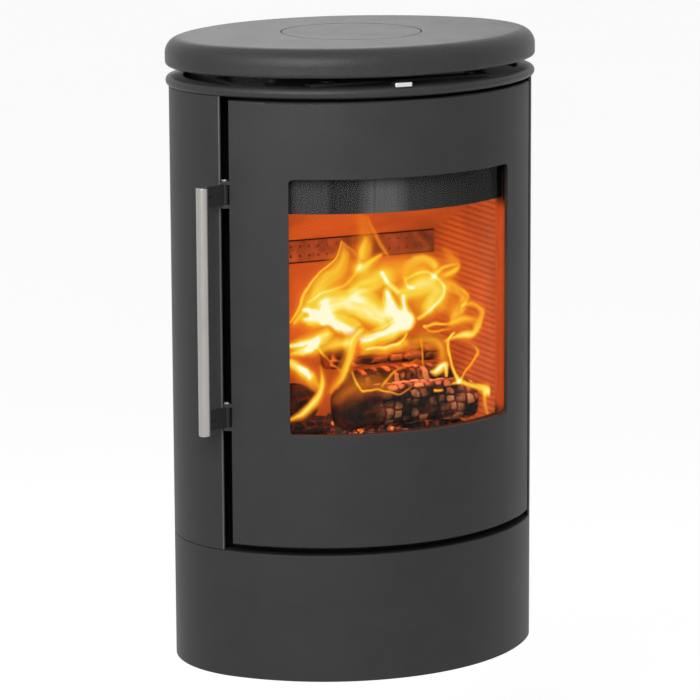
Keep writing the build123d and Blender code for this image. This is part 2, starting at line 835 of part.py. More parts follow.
# Shutter guides: two shoulder screws in the top frame.
shutter_z = ledge_top_z + part_gap
shutter_top_z = shutter_z + shutter_thickness
guide_places = [(-guide_x, -air_slot_y), (guide_x, -air_slot_y)]
with BuildPart() as shutter_guides:
    studs(guide_places, level(0), guide_screw_radius, ledge_z, shutter_top_z + part_gap,
          guide_head_radius, shutter_top_z + part_gap, shutter_top_z + part_gap + guide_head_height)
save(shutter_guides, "shutter_guides")

# Top frame: the cast ledge over the door and panels, with the flue, air and convection openings.
with BuildPart() as top_frame:
    with BuildSketch(level(ledge_z)):
        oval(ledge_overhang)
    extrude(amount=ledge_thickness)
    fillet(top_frame.edges().group_by(Axis.Z)[0], ledge_round)
    fillet(top_frame.edges().group_by(Axis.Z)[-1], ledge_round)
    with BuildSketch(level(ledge_z)):
        Circle(flue_radius)
        with Locations((0, -air_slot_y)):
            with GridLocations(air_slot_pitch, 0, air_slot_count, 1):
                SlotOverall(air_slot_length, air_slot_width)
    extrude(amount=ledge_thickness, mode=Mode.SUBTRACT)
    convection_slots(ledge_z, ledge_thickness, convection_rim)
    add(tie_rods.part, mode=Mode.SUBTRACT)
    add(shutter_guides.part, mode=Mode.SUBTRACT)
save(top_frame, "top_frame")

# Flue cover: closes the unused top outlet, located by a lip in the opening.
with BuildPart() as flue_cover:
    with BuildSketch(level(ledge_top_z)):
        Circle(flue_radius + flue_cover_lap)
    extrude(amount=flue_cover_thickness)
    with BuildSketch(level(ledge_top_z)):
        Circle(flue_radius - part_gap)
        Circle(flue_radius - part_gap - flue_cover_lip, mode=Mode.SUBTRACT)
    extrude(amount=-flue_cover_lip)
save(flue_cover, "flue_cover")

# Top plate: a hollow casting on four legs, bored and seated for the loose disc.
deck_z = top_z - top_deck
disc_z = top_z - disc_recess
with BuildPart() as top_plate:
    with BuildSketch(level(top_plate_z)):
        oval(top_overhang)
    extrude(amount=top_plate_thickness)
    fillet(top_plate.edges().group_by(Axis.Z)[-1], top_round)
    fillet(top_plate.edges().group_by(Axis.Z)[0], top_lower_round)
    with BuildSketch(level(top_plate_z)):
        oval(top_overhang - top_skirt_wall)
    extrude(amount=deck_z - top_plate_z, mode=Mode.SUBTRACT)
    with BuildSketch(level(ledge_top_z)):
        with GridLocations(2 * top_leg_x, 2 * top_leg_y, 2, 2):
            Circle(top_leg_radius)
    extrude(amount=deck_z - ledge_top_z)
    with BuildSketch(level(disc_z)):
        Circle(disc_radius + disc_gap + disc_seat)
    extrude(amount=-disc_seat_thickness)
    with BuildSketch(level(disc_z)):
        Circle(disc_radius + disc_gap)
    extrude(amount=disc_recess, mode=Mode.SUBTRACT)
    with BuildSketch(level(disc_z - disc_seat_thickness)):
        Circle(disc_radius - disc_seat)
    extrude(amount=disc_seat_thickness, mode=Mode.SUBTRACT)
save(top_plate, "top_plate")

# Top disc: drops into the top plate, flush with it.
with BuildPart() as top_disc:
    with BuildSketch(level(disc_z + part_gap)):
        Circle(disc_radius)
    extrude(amount=disc_recess - part_gap)
    fillet(top_disc.edges().group_by(Axis.Z)[-1], disc_round)
save(top_disc, "top_disc")

# Door screws: hold the frame against the shell, their heads in the frame's pockets.
pocket_low_z = door_z + pocket_margin
pocket_high_z = door_top_z - pocket_margin
window_low_z = bottom_z + window_bottom
window_high_z = bottom_z + window_top
lower_screw_z = (pocket_low_z + window_low_z - pocket_window_margin) / 2
upper_screw_z = (pocket_high_z + window_high_z + pocket_window_margin) / 2
with BuildPart() as door_screws:
    for screw_z in (lower_screw_z, upper_screw_z):
        for turn in (-door_screw_angle, 0, door_screw_angle):
            studs([(0, 0)], radial_plane(web_radius, turn, screw_z), door_screw_radius,
                  0, frame_web + door_screw_bite, door_screw_head, -door_head_height, 0)
save(door_screws, "door_screws")

# Handle pivot: its two barrels, and the lugs that carry them.
seam_angle = math.radians((junction + panel_edge_angle) / 2)
handle_x = -side_offset - (side_radius - handle_inset) * math.sin(seam_angle)
handle_y = -(side_radius - handle_inset) * math.cos(seam_angle)
handle_place = [(handle_x, handle_y)]
bar_z = bottom_z + bar_bottom
bar_top_z = bar_z + bar_length
bracket_levels = {"lower": bar_z + bracket_bottom_margin,
                  "upper": bar_top_z - bracket_end_margin - bracket_height}

# Handle pins: through the door's lugs and the barrels.
with BuildPart() as handle_pins:
    for bracket_z in bracket_levels.values():
        pin_low = bracket_z - part_gap - handle_lug
        pin_top = bracket_z + bracket_height + part_gap + handle_lug
        studs(handle_place, level(0), handle_pin_radius, pin_low, pin_top,
              handle_pin_head, pin_top, pin_top + handle_pin_head_height)
save(handle_pins, "handle_pins")

# Door shell: the cast door itself, with lugs for the hinge and the handle.
with BuildPart() as door_shell:
    with BuildSketch(arc_level(door_z)):
        band(door_inner_radius, front_radius, 270, junction)
    extrude(amount=door_height)
    shell_face = door_shell.faces().sort_by(Axis.Y)[0]
    fillet(shell_face.edges(), door_round)
    front_block(window_half, window_low_z, window_high_z, window_corner)
    for lug_z in (lower_lug_z, upper_lug_z):
        with BuildSketch(arc_level(lug_z)):
            with Locations(arc_point(hinge_radius, hinge_angle)):
                Circle(hinge_eye)
            with BuildLine():
                Polyline(arc_point(hinge_radius, hinge_angle - hinge_web_half_angle),
                         arc_point(lug_root_radius, hinge_angle - hinge_web_half_angle),
                         arc_point(lug_root_radius, junction - edge_angle),
                         arc_point(hinge_radius, junction - edge_angle), close=True)
            make_face()
            with Locations(arc_point(hinge_radius, hinge_angle)):
                Circle(hinge_pin_radius + running_clearance, mode=Mode.SUBTRACT)
        extrude(amount=hinge_lug)
    for bracket_z in bracket_levels.values():
        for lug_z in (bracket_z - part_gap - handle_lug, bracket_z + bracket_height + part_gap):
            with BuildSketch(arc_level(lug_z)):
                with Locations((handle_x, handle_y - arc_offset)):
                    Circle(barrel_radius)
                with BuildLine():
                    Polyline((handle_x, handle_y - arc_offset + lug_half_web),
                             (handle_x, handle_y - arc_offset - lug_half_web),
                             arc_point(front_radius - edge_round, -junction + handle_lug_bite),
                             arc_point(lug_root_radius - lug_half_web, -junction + handle_lug_bite),
                             close=True)
                make_face()
            extrude(amount=handle_lug)
    add(handle_pins.part, mode=Mode.SUBTRACT)
    add(door_screws.part, mode=Mode.SUBTRACT)
save(door_shell, "door_shell")

# Glass tape: the gasket between the door shell and the glass.
with BuildPart() as glass_tape:
    add(window_plate(glass_outer, door_inner_radius - tape_play, glass_lap, glass_corner))
    add(window_plate(glass_outer - part_gap, door_inner_radius, glass_lap - tape_width,
                     window_corner), mode=Mode.SUBTRACT)
save(glass_tape, "glass_tape")

# Window glass: curved with the door.
with BuildPart() as window_glass:
    add(window_plate(glass_inner, glass_outer, glass_lap, glass_corner))
save(window_glass, "window_glass")

# Door frame: the inner casting, with the glass's seat, the rope's groove and two pockets.
with BuildPart() as door_frame:
    door_band(frame_back_radius, door_inner_radius, frame_half_angle, frame_z, frame_top_z - frame_z)
    add(window_plate(glass_inner, door_inner_radius + part_gap, glass_lap + glass_play,
                     glass_corner + glass_play), mode=Mode.SUBTRACT)
    front_block(window_half + frame_lap, window_low_z - frame_lap, window_high_z + frame_lap,
                window_corner)
    for low, high in ((pocket_low_z, window_low_z - pocket_window_margin),
                      (window_high_z + pocket_window_margin, pocket_high_z)):
        door_band(seat_radius, web_radius, pocket_half_angle, low, high - low, mode=Mode.SUBTRACT)
    add(seal_ring(), mode=Mode.SUBTRACT)
    add(door_screws.part, mode=Mode.SUBTRACT)
save(door_frame, "door_frame")

# Door rope: the seal round the frame's back.
with BuildPart() as door_rope:
    add(seal_ring())
save(door_rope, "door_rope")

# Wash strip: bridges the frame's opening behind the top of the glass.
with BuildPart() as wash_strip:
    add(window_plate(strip_radius - strip_wall, strip_radius, frame_lap, window_corner,
                     strip_bottom - window_bottom + frame_lap))
save(wash_strip, "wash_strip")

# Handle studs: join the straps to the bar.
bar_turn = math.radians(handle_direction)
bar_x = handle_x + handle_reach * math.cos(bar_turn)
bar_y = handle_y + handle_reach * math.sin(bar_turn)
bar_face = handle_reach - bar_radius
with BuildPart() as handle_studs:
    for bracket_z in bracket_levels.values():
        stud_plane = Plane(origin=(handle_x, centre_y + handle_y, bracket_z + bracket_height / 2),
                           x_dir=(0, 0, 1), z_dir=(math.cos(bar_turn), math.sin(bar_turn), 0))
        studs([(0, 0)], stud_plane, stud_radius, bar_face - stud_lead, bar_face + stud_bury)
save(handle_studs, "handle_studs")

# Handle bar: a plain round bar.
with BuildPart() as bar_blank:
    with BuildSketch(level(bar_z)):
        with Locations((bar_x, bar_y)):
            Circle(bar_radius)
    extrude(amount=bar_length)
with BuildPart() as handle_bar:
    add(bar_blank.part)
    chamfer(handle_bar.edges().group_by(Axis.Z)[0], bar_edge)
    chamfer(handle_bar.edges().group_by(Axis.Z)[-1], bar_edge)
    add(handle_studs.part, mode=Mode.SUBTRACT)
save(handle_bar, "handle_bar")

# Handle brackets: a barrel in the door's seam, a strap out to the bar and a latch finger.
for name, bracket_z in bracket_levels.items():
    with BuildPart() as handle_bracket:
        with BuildSketch(level(bracket_z)):
            with Locations(*handle_place):
                Circle(barrel_radius)
            with Locations(Location((handle_x, handle_y, 0), (0, 0, handle_direction))):
                Rectangle(handle_reach, strap_thickness, align=(Align.MIN, Align.CENTER))
            with Locations(Location((handle_x, handle_y, 0), (0, 0, finger_angle))):
                Rectangle(finger_length, finger_thickness, align=(Align.MIN, Align.CENTER))
            with Locations(*handle_place):
                Circle(handle_pin_radius + running_clearance, mode=Mode.SUBTRACT)
        extrude(amount=bracket_height)
        add(bar_blank.part, mode=Mode.SUBTRACT)
        add(handle_studs.part, mode=Mode.SUBTRACT)
    save(handle_bracket, f"handle_bracket_{name}")

# Latch keepers: on the firebox front's left end, each with a fixed roller for the finger.
keeper_reach = finger_length + roller_gap + roller_radius
keeper_x = handle_x + keeper_reach * math.cos(math.radians(finger_angle))
keeper_y = handle_y + keeper_reach * math.sin(math.radians(finger_angle))
with BuildPart() as latch_keepers:
    for bracket_z in bracket_levels.values():
        keeper_z = bracket_z - keeper_play - keeper_plate
        keeper_height = bracket_height + 2 * (keeper_play + keeper_plate)
        with BuildSketch(level(keeper_z)):
            with Locations((-front_half, keeper_y)):
                Rectangle(keeper_plate, keeper_width, align=(Align.MAX, Align.CENTER))
            with Locations((keeper_x, keeper_y)):
                Circle(roller_radius)
        extrude(amount=keeper_height)
        for ear_z in (keeper_z, keeper_z + keeper_height - keeper_plate):
            with BuildSketch(level(ear_z)):
                with Locations((-front_half, keeper_y)):
                    Rectangle(-front_half - keeper_x, 2 * roller_radius,
                              align=(Align.MAX, Align.CENTER))
            extrude(amount=keeper_plate)
save(latch_keepers, "latch_keepers")

# Air shutter: slides on the top frame over its slots, with a tongue to the front.
with BuildPart() as air_shutter:
    with BuildSketch(level(shutter_z)):
        with Locations((0, -air_slot_y)):
            Rectangle(2 * shutter_half, shutter_depth)
        with Locations((lever_x, -air_slot_y)):
            Rectangle(lever_width, lever_end - air_slot_y, align=(Align.CENTER, Align.MAX))
        with Locations((-shutter_travel, -air_slot_y)):
            with GridLocations(air_slot_pitch, 0, air_slot_count, 1):
                SlotOverall(air_slot_length, air_slot_width, mode=Mode.SUBTRACT)
        with Locations((-guide_x, -air_slot_y), (guide_x, -air_slot_y)):
            SlotOverall(2 * (shutter_travel + guide_screw_radius + guide_play),
                        2 * (guide_screw_radius + part_gap), mode=Mode.SUBTRACT)
    extrude(amount=shutter_thickness)
save(air_shutter, "air_shutter")

# Lever tip: the bright finger piece on the tongue's end.
with BuildPart() as lever_tip:
    with BuildSketch(level(shutter_z)):
        with Locations((lever_x, -(tip_front + tip_back) / 2)):
            Rectangle(tip_width, tip_front - tip_back)
    extrude(amount=tip_height)
    fillet(lever_tip.edges().group_by(Axis.Z)[-1] + lever_tip.edges().filter_by(Axis.Z), tip_round)
    add(air_shutter.part, mode=Mode.SUBTRACT)
save(lever_tip, "lever_tip")

# Ash pan: an open tray on the runners.
with BuildPart() as ash_pan:
    pan_depth = pan_front + pan_back
    with BuildSketch(level(pan_z)):
        with Locations((0, (pan_back - pan_front) / 2)):
            RectangleRounded(2 * pan_half, pan_depth, pan_corner)
    extrude(amount=pan_height)
    with BuildSketch(level(pan_z + pan_wall)):
        with Locations((0, (pan_back - pan_front) / 2)):
            RectangleRounded(2 * (pan_half - pan_wall), pan_depth - 2 * pan_wall, pan_corner - pan_wall)
    extrude(amount=pan_height - pan_wall, mode=Mode.SUBTRACT)
save(ash_pan, "ash_pan")

# Lock screws: pin the hanger's stay to the wall bracket's lower flange.
wall_y = half_depth + wall_gap
lock_places = [(-lock_screw_x, wall_y - lock_screw_back), (lock_screw_x, wall_y - lock_screw_back)]
with BuildPart() as lock_screws:
    studs(lock_places, level(0), lock_screw_radius, -bracket_half_height, arm_low_z + bracket_plate,
          lock_head_radius, arm_low_z + bracket_plate, arm_low_z + bracket_plate + lock_head_height)
save(lock_screws, "lock_screws")

# Wall bracket: bolted to the wall, with a lipped shelf above and a flange below.
plate_y = wall_y - bracket_plate
lip_y = plate_y - hook_trough - bracket_plate
stay_y = half_depth + part_gap
with BuildPart() as wall_bracket:
    with BuildSketch(rear_view(plate_y)):
        Rectangle(2 * bracket_half_width, 2 * bracket_half_height)
        with GridLocations(bolt_spacing_x, bolt_spacing_z, 2, 2):
            Circle(bolt_hole_radius, mode=Mode.SUBTRACT)
    extrude(amount=bracket_plate)
    for plate_z, reach in ((bracket_half_height - bracket_plate, lip_y), (-bracket_half_height, stay_y)):
        with BuildSketch(level(plate_z)):
            with Locations((0, reach)):
                Rectangle(2 * bracket_half_width, plate_y - reach, align=(Align.CENTER, Align.MIN))
        extrude(amount=bracket_plate)
    with BuildSketch(level(bracket_half_height)):
        with Locations((0, lip_y)):
            Rectangle(2 * bracket_half_width, bracket_plate, align=(Align.CENTER, Align.MIN))
    extrude(amount=hook_rise)
    add(lock_screws.part, mode=Mode.SUBTRACT)
save(wall_bracket, "wall_bracket")

# Hanger frame: two arms from the firebox's back wall to a rail that hooks over the shelf's lip.
rail_y = lip_y - hook_play - bracket_plate
hook_y = plate_y - hook_play - bracket_plate
with BuildPart() as hanger_frame:
    with BuildSketch(level(arm_low_z)):
        with GridLocations(2 * arm_x, 0, 2, 1):
            with Locations((0, firebox_depth_back)):
                Rectangle(arm_thickness, rail_y - firebox_depth_back, align=(Align.CENTER, Align.MIN))
    extrude(amount=arm_top_z - arm_low_z)
    with BuildSketch(level(arm_top_z - rail_height)):
        with Locations((0, rail_y)):
            Rectangle(2 * rail_half, bracket_plate, align=(Align.CENTER, Align.MIN))
    extrude(amount=rail_height)
    with BuildSketch(level(arm_top_z - bracket_plate)):
        with Locations((0, rail_y)):
            Rectangle(2 * rail_half, hook_y + bracket_plate - rail_y, align=(Align.CENTER, Align.MIN))
    extrude(amount=bracket_plate)
    with BuildSketch(level(bracket_half_height)):
        with Locations((0, hook_y)):
            Rectangle(2 * rail_half, bracket_plate, align=(Align.CENTER, Align.MIN))
    extrude(amount=hook_rise)
    with BuildSketch(level(arm_low_z)):
        with Locations((0, stay_y)):
            Rectangle(2 * rail_half, plate_y - hook_play - stay_y, align=(Align.CENTER, Align.MIN))
    extrude(amount=bracket_plate)
    add(lock_screws.part, mode=Mode.SUBTRACT)
save(hanger_frame, "hanger_frame")

# Ember bed: on the grate and its frame.
ember_top_z = hearth_z + ember_depth
with BuildPart() as ember_bed:
    with BuildSketch(level(hearth_z)):
        with Locations((0, ember_y)):
            Ellipse(lining_inner_half - ember_side_gap, ember_width / 2)
    extrude(amount=ember_depth)
save(ember_bed, "ember_bed")

# Logs: two split logs on the embers, and a third on the middle one, against the back lining.
with BuildPart() as log_front:
    fire_log(front_log_gap, front_log_y, ember_top_z, front_log_length, front_log_width,
             front_log_height, front_log_turn)
save(log_front, "log_front")
with BuildPart() as log_middle:
    fire_log(middle_log_gap, middle_log_y, ember_top_z, middle_log_length, middle_log_width,
             middle_log_height, middle_log_turn)
save(log_middle, "log_middle")
with BuildPart() as log_back:
    fire_log(back_log_gap, back_lining_face - back_log_width / 2, ember_top_z + middle_log_height,
             back_log_length, back_log_width, back_log_height)
save(log_back, "log_back")
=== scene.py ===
import bmesh
import bpy
import math
import numpy as np
from mathutils import Matrix, Vector


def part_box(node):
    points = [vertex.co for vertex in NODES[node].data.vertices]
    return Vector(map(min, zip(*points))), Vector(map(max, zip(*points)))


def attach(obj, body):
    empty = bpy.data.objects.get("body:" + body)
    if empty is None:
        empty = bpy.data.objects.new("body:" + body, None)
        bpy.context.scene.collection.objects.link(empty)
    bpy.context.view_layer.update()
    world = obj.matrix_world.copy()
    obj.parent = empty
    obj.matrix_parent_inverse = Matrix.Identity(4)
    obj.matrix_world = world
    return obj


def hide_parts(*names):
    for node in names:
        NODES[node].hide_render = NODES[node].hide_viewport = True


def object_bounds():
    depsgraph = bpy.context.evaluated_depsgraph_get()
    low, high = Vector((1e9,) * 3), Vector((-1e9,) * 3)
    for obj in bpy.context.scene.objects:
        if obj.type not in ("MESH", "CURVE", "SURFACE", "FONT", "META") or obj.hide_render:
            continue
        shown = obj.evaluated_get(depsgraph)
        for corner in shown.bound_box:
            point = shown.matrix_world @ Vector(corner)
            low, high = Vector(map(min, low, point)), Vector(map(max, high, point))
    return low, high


bl_info = {
    "name": "Wall-mounted wood stove",
    "version": (1, 0, 0),
    "blender": (4, 5, 0),
    "location": "View3D > Sidebar > Stove",
    "description": "Finishes, fire, logs, rope seal and studio for the stove's frame",
    "category": "Object",
}

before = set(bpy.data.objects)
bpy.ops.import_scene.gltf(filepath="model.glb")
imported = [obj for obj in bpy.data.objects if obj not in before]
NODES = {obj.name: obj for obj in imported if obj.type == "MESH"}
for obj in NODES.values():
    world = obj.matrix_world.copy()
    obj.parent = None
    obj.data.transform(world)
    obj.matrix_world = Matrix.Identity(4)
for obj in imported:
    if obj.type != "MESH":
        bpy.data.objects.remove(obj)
CAD_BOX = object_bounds()

# Places on the stove, in metres. The wall is y = 0 and the room is towards -y.
DOOR_AXIS = Vector((0.0, -0.1213, 0.0))
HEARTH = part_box("ember_bed")[0][2]
EMBER_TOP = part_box("ember_bed")[1][2]
LINING_FACE = 0.1385
RIB_PITCH = 0.007
# Heights along the air bar's bottom and top edges where painted shade darkens it
BAR_SHADED_RIMS = ((0.1118, 0.1132), (0.1365, 0.1378))
EMBER_DEPTH = (-0.279, -0.1275)

# How finely pieces are drawn, in metres or in counts
LOG_STEP = 0.0011
LOG_SIDES = 150
LOG_CAP_RINGS = 12
FLAME_STEP = 0.0011
FAINTEST_FLAME = 0.045
ROUTE_ACROSS = 48
ROUTE_UP = 59
FLOOR_SIZE = 60.0
FLOOR_MARKS = 9

DARK = (0.0, 0.0, 0.0)

# The camera, worked out from the stove's edges in the photograph, PICTURE pixels wide.
PICTURE = 700.0
FOCAL_PIXELS = 3909.5
CAMERA_AZIMUTH = math.radians(-24.727)
CAMERA_PITCH = math.radians(11.343)
CAMERA_ROLL = math.radians(-0.285)
CAMERA_DISTANCE = 4.4316
CAMERA_HEIGHT = 1.2366
CAMERA_ASIDE = -0.003236


def camera_frame():
    """The camera's eye and its directions ahead, right and up."""
    sine, cosine = math.sin(CAMERA_AZIMUTH), math.cos(CAMERA_AZIMUTH)
    centre = Vector((0.0, -0.194, CAD_BOX[0][2]))
    eye = centre + Vector((sine * CAMERA_DISTANCE + cosine * CAMERA_ASIDE,
                           sine * CAMERA_ASIDE - cosine * CAMERA_DISTANCE, CAMERA_HEIGHT))
    ahead = Vector((-sine * math.cos(CAMERA_PITCH), cosine * math.cos(CAMERA_PITCH),
                    -math.sin(CAMERA_PITCH)))
    right = Vector((cosine, sine, 0.0))
    up = right.cross(ahead)
    return (eye, ahead, right * math.cos(CAMERA_ROLL) + up * math.sin(CAMERA_ROLL),
            up * math.cos(CAMERA_ROLL) - right * math.sin(CAMERA_ROLL))


# Shader sockets as numbers

class Wire:
    """A shader socket that takes part in Python expressions; each operator adds one Math node."""

    def __init__(self, bench, socket):
        self.bench = bench
        self.socket = socket

    def also(self, name):
        return Wire(self.bench, self.socket.node.outputs[name])

    def math(self, operation, *others):
        inputs = dict(enumerate((self,) + others))
        return self.bench.add("ShaderNodeMath", {"operation": operation}, inputs)

    def __add__(self, other):
        return self.math("ADD", other)

    __radd__ = __add__

    def __sub__(self, other):
        return self.math("SUBTRACT", other)

    def __rsub__(self, other):
        return self.bench.add("ShaderNodeMath", {"operation": "SUBTRACT"}, {0: other, 1: self})

    def __mul__(self, other):
        return self.math("MULTIPLY", other)

    __rmul__ = __mul__

    def __truediv__(self, other):
        return self.math("DIVIDE", other)

    def __pow__(self, other):
        return self.math("POWER", other)

    def __abs__(self):
        return self.math("ABSOLUTE")

    def over(self, low, high, bottom=0.0, top=1.0):
        """Rises smoothly from bottom to top as this socket goes from low to high."""
        return self.bench.add("ShaderNodeMapRange", {"interpolation_type": "SMOOTHSTEP"},
                              {"Value": self, "From Min": low, "From Max": high,
                               "To Min": bottom, "To Max": top})


class Bench:
    """One node tree of a material or world, with a single method that places its nodes."""

    def __init__(self, owner):
        owner.use_nodes = True
        self.owner = owner
        self.tree = owner.node_tree
        self.tree.nodes.clear()

    def add(self, kind, settings=None, inputs=None, output=0):
        node = self.tree.nodes.new(kind)
        for name, value in (settings or {}).items():
            if name == "stops":
                elements = node.color_ramp.elements
                while len(elements) < len(value):
                    elements.new(0.5)
                for element, (place, colour) in zip(elements, value):
                    element.position = place
                    element.color = colour
            else:
                setattr(node, name, value)
        for key, value in (inputs or {}).items():
            if isinstance(value, Wire):
                self.tree.links.new(value.socket, node.inputs[key])
            else:
                node.inputs[key].default_value = value
        if not node.outputs:
            return None
        return Wire(self, node.outputs[output])

    def place(self, scale=(1.0, 1.0, 1.0)):
        """Object coordinates, stretched."""
        spot = self.add("ShaderNodeTexCoord", output="Object")
        return self.add("ShaderNodeMapping", None, {"Vector": spot, "Scale": scale})

    def split(self, spot):
        """The x of a place; also("Y") and also("Z") give the others."""
        return self.add("ShaderNodeSeparateXYZ", None, {0: spot})

    def noise(self, where, scale, detail=3.0, roughness=0.55):
        return self.add("ShaderNodeTexNoise", None, {"Vector": where, "Scale": scale,
                                                     "Detail": detail, "Roughness": roughness})

    def mix(self, factor, *colours):
        first, second = (c if isinstance(c, Wire) else rgb(c) for c in colours)
        return self.add("ShaderNodeMix", {"data_type": "RGBA"}, {0: factor, 6: first, 7: second},
                        output=2)

    def seen(self):
        """1 where the camera sees a surface, directly, mirrored or through glass."""
        path = self.add("ShaderNodeLightPath", output="Is Camera Ray")
        return path.math("MAXIMUM", path.also("Is Glossy Ray")).math(
            "MAXIMUM", path.also("Is Transmission Ray"))

    def stops(self, value, places):
        """Colours along a value, given as (place, (red, green, blue))."""
        colours = [(p, rgb(c)) for p, c in places]
        return self.add("ShaderNodeValToRGB", {"stops": colours}, {0: value})

    def bump(self, height, depth, strength=1.0, normal=None):
        inputs = {"Height": height, "Distance": depth, "Strength": strength}
        if normal is not None:
            inputs["Normal"] = normal
        return self.add("ShaderNodeBump", None, inputs)

    def worn_edge(self, radius):
        """The normal of an edge that paint or grinding has rounded."""
        return self.add("ShaderNodeBevel", {"samples": 6}, {"Radius": radius})

    def surface(self, **inputs):
        """The shader and its output; names are the shader's own, with _ for a blank."""
        named = {name.replace("_", " "): value for name, value in inputs.items()}
        shader = self.add("ShaderNodeBsdfPrincipled", None, named)
        self.add("ShaderNodeOutputMaterial", None, {"Surface": shader})
        return self.owner


def rgb(colour):
    """A colour with full alpha."""
    return (colour[0], colour[1], colour[2], 1.0)


def shade(colour, factor):
    return (colour[0] * factor, colour[1] * factor, colour[2] * factor, 1.0)


def new_finish(name):
    return Bench(bpy.data.materials.new(name))


def coat(material, *names):
    """Puts a material on CAD nodes."""
    for name in names:
        for slot in NODES[name].material_slots:
            slot.material = material


def dress(piece, body, node=None):
    """Puts a piece on a body, in place of a CAD node where one is named."""
    if node:
        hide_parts(node)
    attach(piece, body)


def grid_faces(columns, rows):
    """The faces of a grid of points, row by row."""
    return [(r * columns + c, r * columns + c + 1, (r + 1) * columns + c + 1, (r + 1) * columns + c)
            for r in range(rows - 1) for c in range(columns - 1)]


# Numbers over a surface, worked out once for a piece's points

class Grain:
    """Smooth random values over space, the same on every run."""

    def __init__(self, seed):
        self.table = np.random.RandomState(seed).rand(4096)

    def corner(self, x, y, z):
        mixed = (x * 73856093) ^ (y * 19349663) ^ (z * 83492791)
        return self.table[mixed & 4095]

    def one(self, x, y, z):
        low = [np.floor(a).astype(np.int64) for a in (x, y, z)]
        part = [a - f for a, f in zip((x, y, z), low)]
        part = [p * p * (3.0 - 2.0 * p) for p in part]
        total = np.zeros_like(part[0])
        for dx in (0, 1):
            for dy in (0, 1):
                for dz in (0, 1):
                    weight = ((part[0] if dx else 1 - part[0]) * (part[1] if dy else 1 - part[1])
                              * (part[2] if dz else 1 - part[2]))
                    total = total + weight * self.corner(low[0] + dx, low[1] + dy, low[2] + dz)
        return total

    def __call__(self, x, y, z, octaves=3):
        """Noise from -1 to 1."""
        x, y, z = np.broadcast_arrays(*(np.asarray(a, float) for a in (x, y, z)))
        total = np.zeros(x.shape)
        size = 1.0
        whole = 0.0
        for octave in range(octaves):
            step = 2.0 ** octave
            value = self.one(x * step + 7.1 * octave, y * step, z * step)
            total = total + size * (2.0 * value - 1.0)
            whole += size
            size *= 0.5
        return total / whole


def smooth(value, low, high):
    part = np.clip((value - low) / (high - low), 0.0, 1.0)
    return part * part * (3.0 - 2.0 * part)


def mesh_piece(name, points, faces, material, values=None):
    """A piece from points and faces, with named values kept on its points."""
    mesh = bpy.data.meshes.new(name)
    mesh.from_pydata([tuple(p) for p in points], [], [tuple(f) for f in faces])
    for label, numbers in (values or {}).items():
        attribute = mesh.attributes.new(label, "FLOAT", "POINT")
        attribute.data.foreach_set("value", np.asarray(numbers, dtype=np.float32))
    mesh.materials.append(material)
    mesh.polygons.foreach_set("use_smooth", [True] * len(mesh.polygons))
    mesh.update()
    piece = bpy.data.objects.new(name, mesh)
    bpy.context.scene.collection.objects.link(piece)
    return piece


# Geometry Nodes

class Tree:
    """A Geometry Nodes tree with named inputs."""

    def __init__(self, name):
        self.tree = bpy.data.node_groups.new(name, "GeometryNodeTree")
        for way in ("INPUT", "OUTPUT"):
            self.tree.interface.new_socket("Geometry", in_out=way,
                                           socket_type="NodeSocketGeometry")
        self.start = self.tree.nodes.new("NodeGroupInput")
        self.sockets = {}

    def value(self, name, kind, default):
        """A named input; returns its socket inside the tree."""
        socket = self.tree.interface.new_socket(name, in_out="INPUT",
                                                socket_type="NodeSocket" + kind)
        if default is not None:
            socket.default_value = default
        self.sockets[name] = socket.identifier
        return self.start.outputs[name]

    def add(self, kind, settings=None, inputs=None):
        node = self.tree.nodes.new(kind)
        for name, value in (settings or {}).items():
            setattr(node, name, value)
        for key, value in (inputs or {}).items():
            for one in value if isinstance(value, list) else [value]:
                if isinstance(one, bpy.types.NodeSocket):
                    self.tree.links.new(one, node.inputs[key])
                else:
                    node.inputs[key].default_value = one
        return node

    def out(self, kind, settings=None, inputs=None):
        """The first output of a new node."""
        return self.add(kind, settings, inputs).outputs[0]

    def number(self, operation, *inputs):
        return self.out("ShaderNodeMath", {"operation": operation}, dict(enumerate(inputs)))

    def vector(self, operation, *inputs):
        return self.out("ShaderNodeVectorMath", {"operation": operation}, dict(enumerate(inputs)))

    def scaled(self, vector, size):
        return self.out("ShaderNodeVectorMath", {"operation": "SCALE"}, {0: vector, "Scale": size})

    def finish(self, geometry, material):
        whole = self.out("GeometryNodeRealizeInstances", None, {0: geometry})
        painted = self.out("GeometryNodeSetMaterial", None, {0: whole, "Material": material})
        self.add("NodeGroupOutput", None, {0: painted})

    def grow(self, source, name, values):
        """Runs the tree on an object and returns the result as a plain piece."""
        modifier = source.modifiers.new("grow", "NODES")
        modifier.node_group = self.tree
        for label, value in values.items():
            modifier[self.sockets[label]] = value
        graph = bpy.context.evaluated_depsgraph_get()
        mesh = bpy.data.meshes.new_from_object(source.evaluated_get(graph), depsgraph=graph)
        source.modifiers.remove(modifier)
        mesh.name = name
        piece = bpy.data.objects.new(name, mesh)
        bpy.context.scene.collection.objects.link(piece)
        bpy.data.objects.remove(source)
        return piece


# What a user can change

def colour(name, description, default):
    return bpy.props.FloatVectorProperty(name=name, description=description, default=default,
                                         min=0.0, max=1.0, subtype="COLOR")


def length(name, description, default, **limits):
    return bpy.props.FloatProperty(name=name, description=description, default=default,
                                   subtype="DISTANCE", unit="LENGTH", **limits)


def power(name, description, default):
    return bpy.props.FloatProperty(name=name, description=description, default=default, min=0.0)


class StoveLooks(bpy.types.PropertyGroup):
    """Colours and sizes of the stove's finishes."""

    paint: colour("Stove paint", "Colour of the matt stove paint", (0.036, 0.036, 0.0375))
    inside: colour("Inside paint", "Colour of the black paint inside gaps and behind the panels",
                   (0.014, 0.014, 0.015))
    board: colour("Fire board", "Colour of the linings and the baffle", (0.16, 0.075, 0.030))
    grain: length("Casting grain", "Depth of the sand grain on the castings", 0.00022,
                  min=0.0, max=0.001)


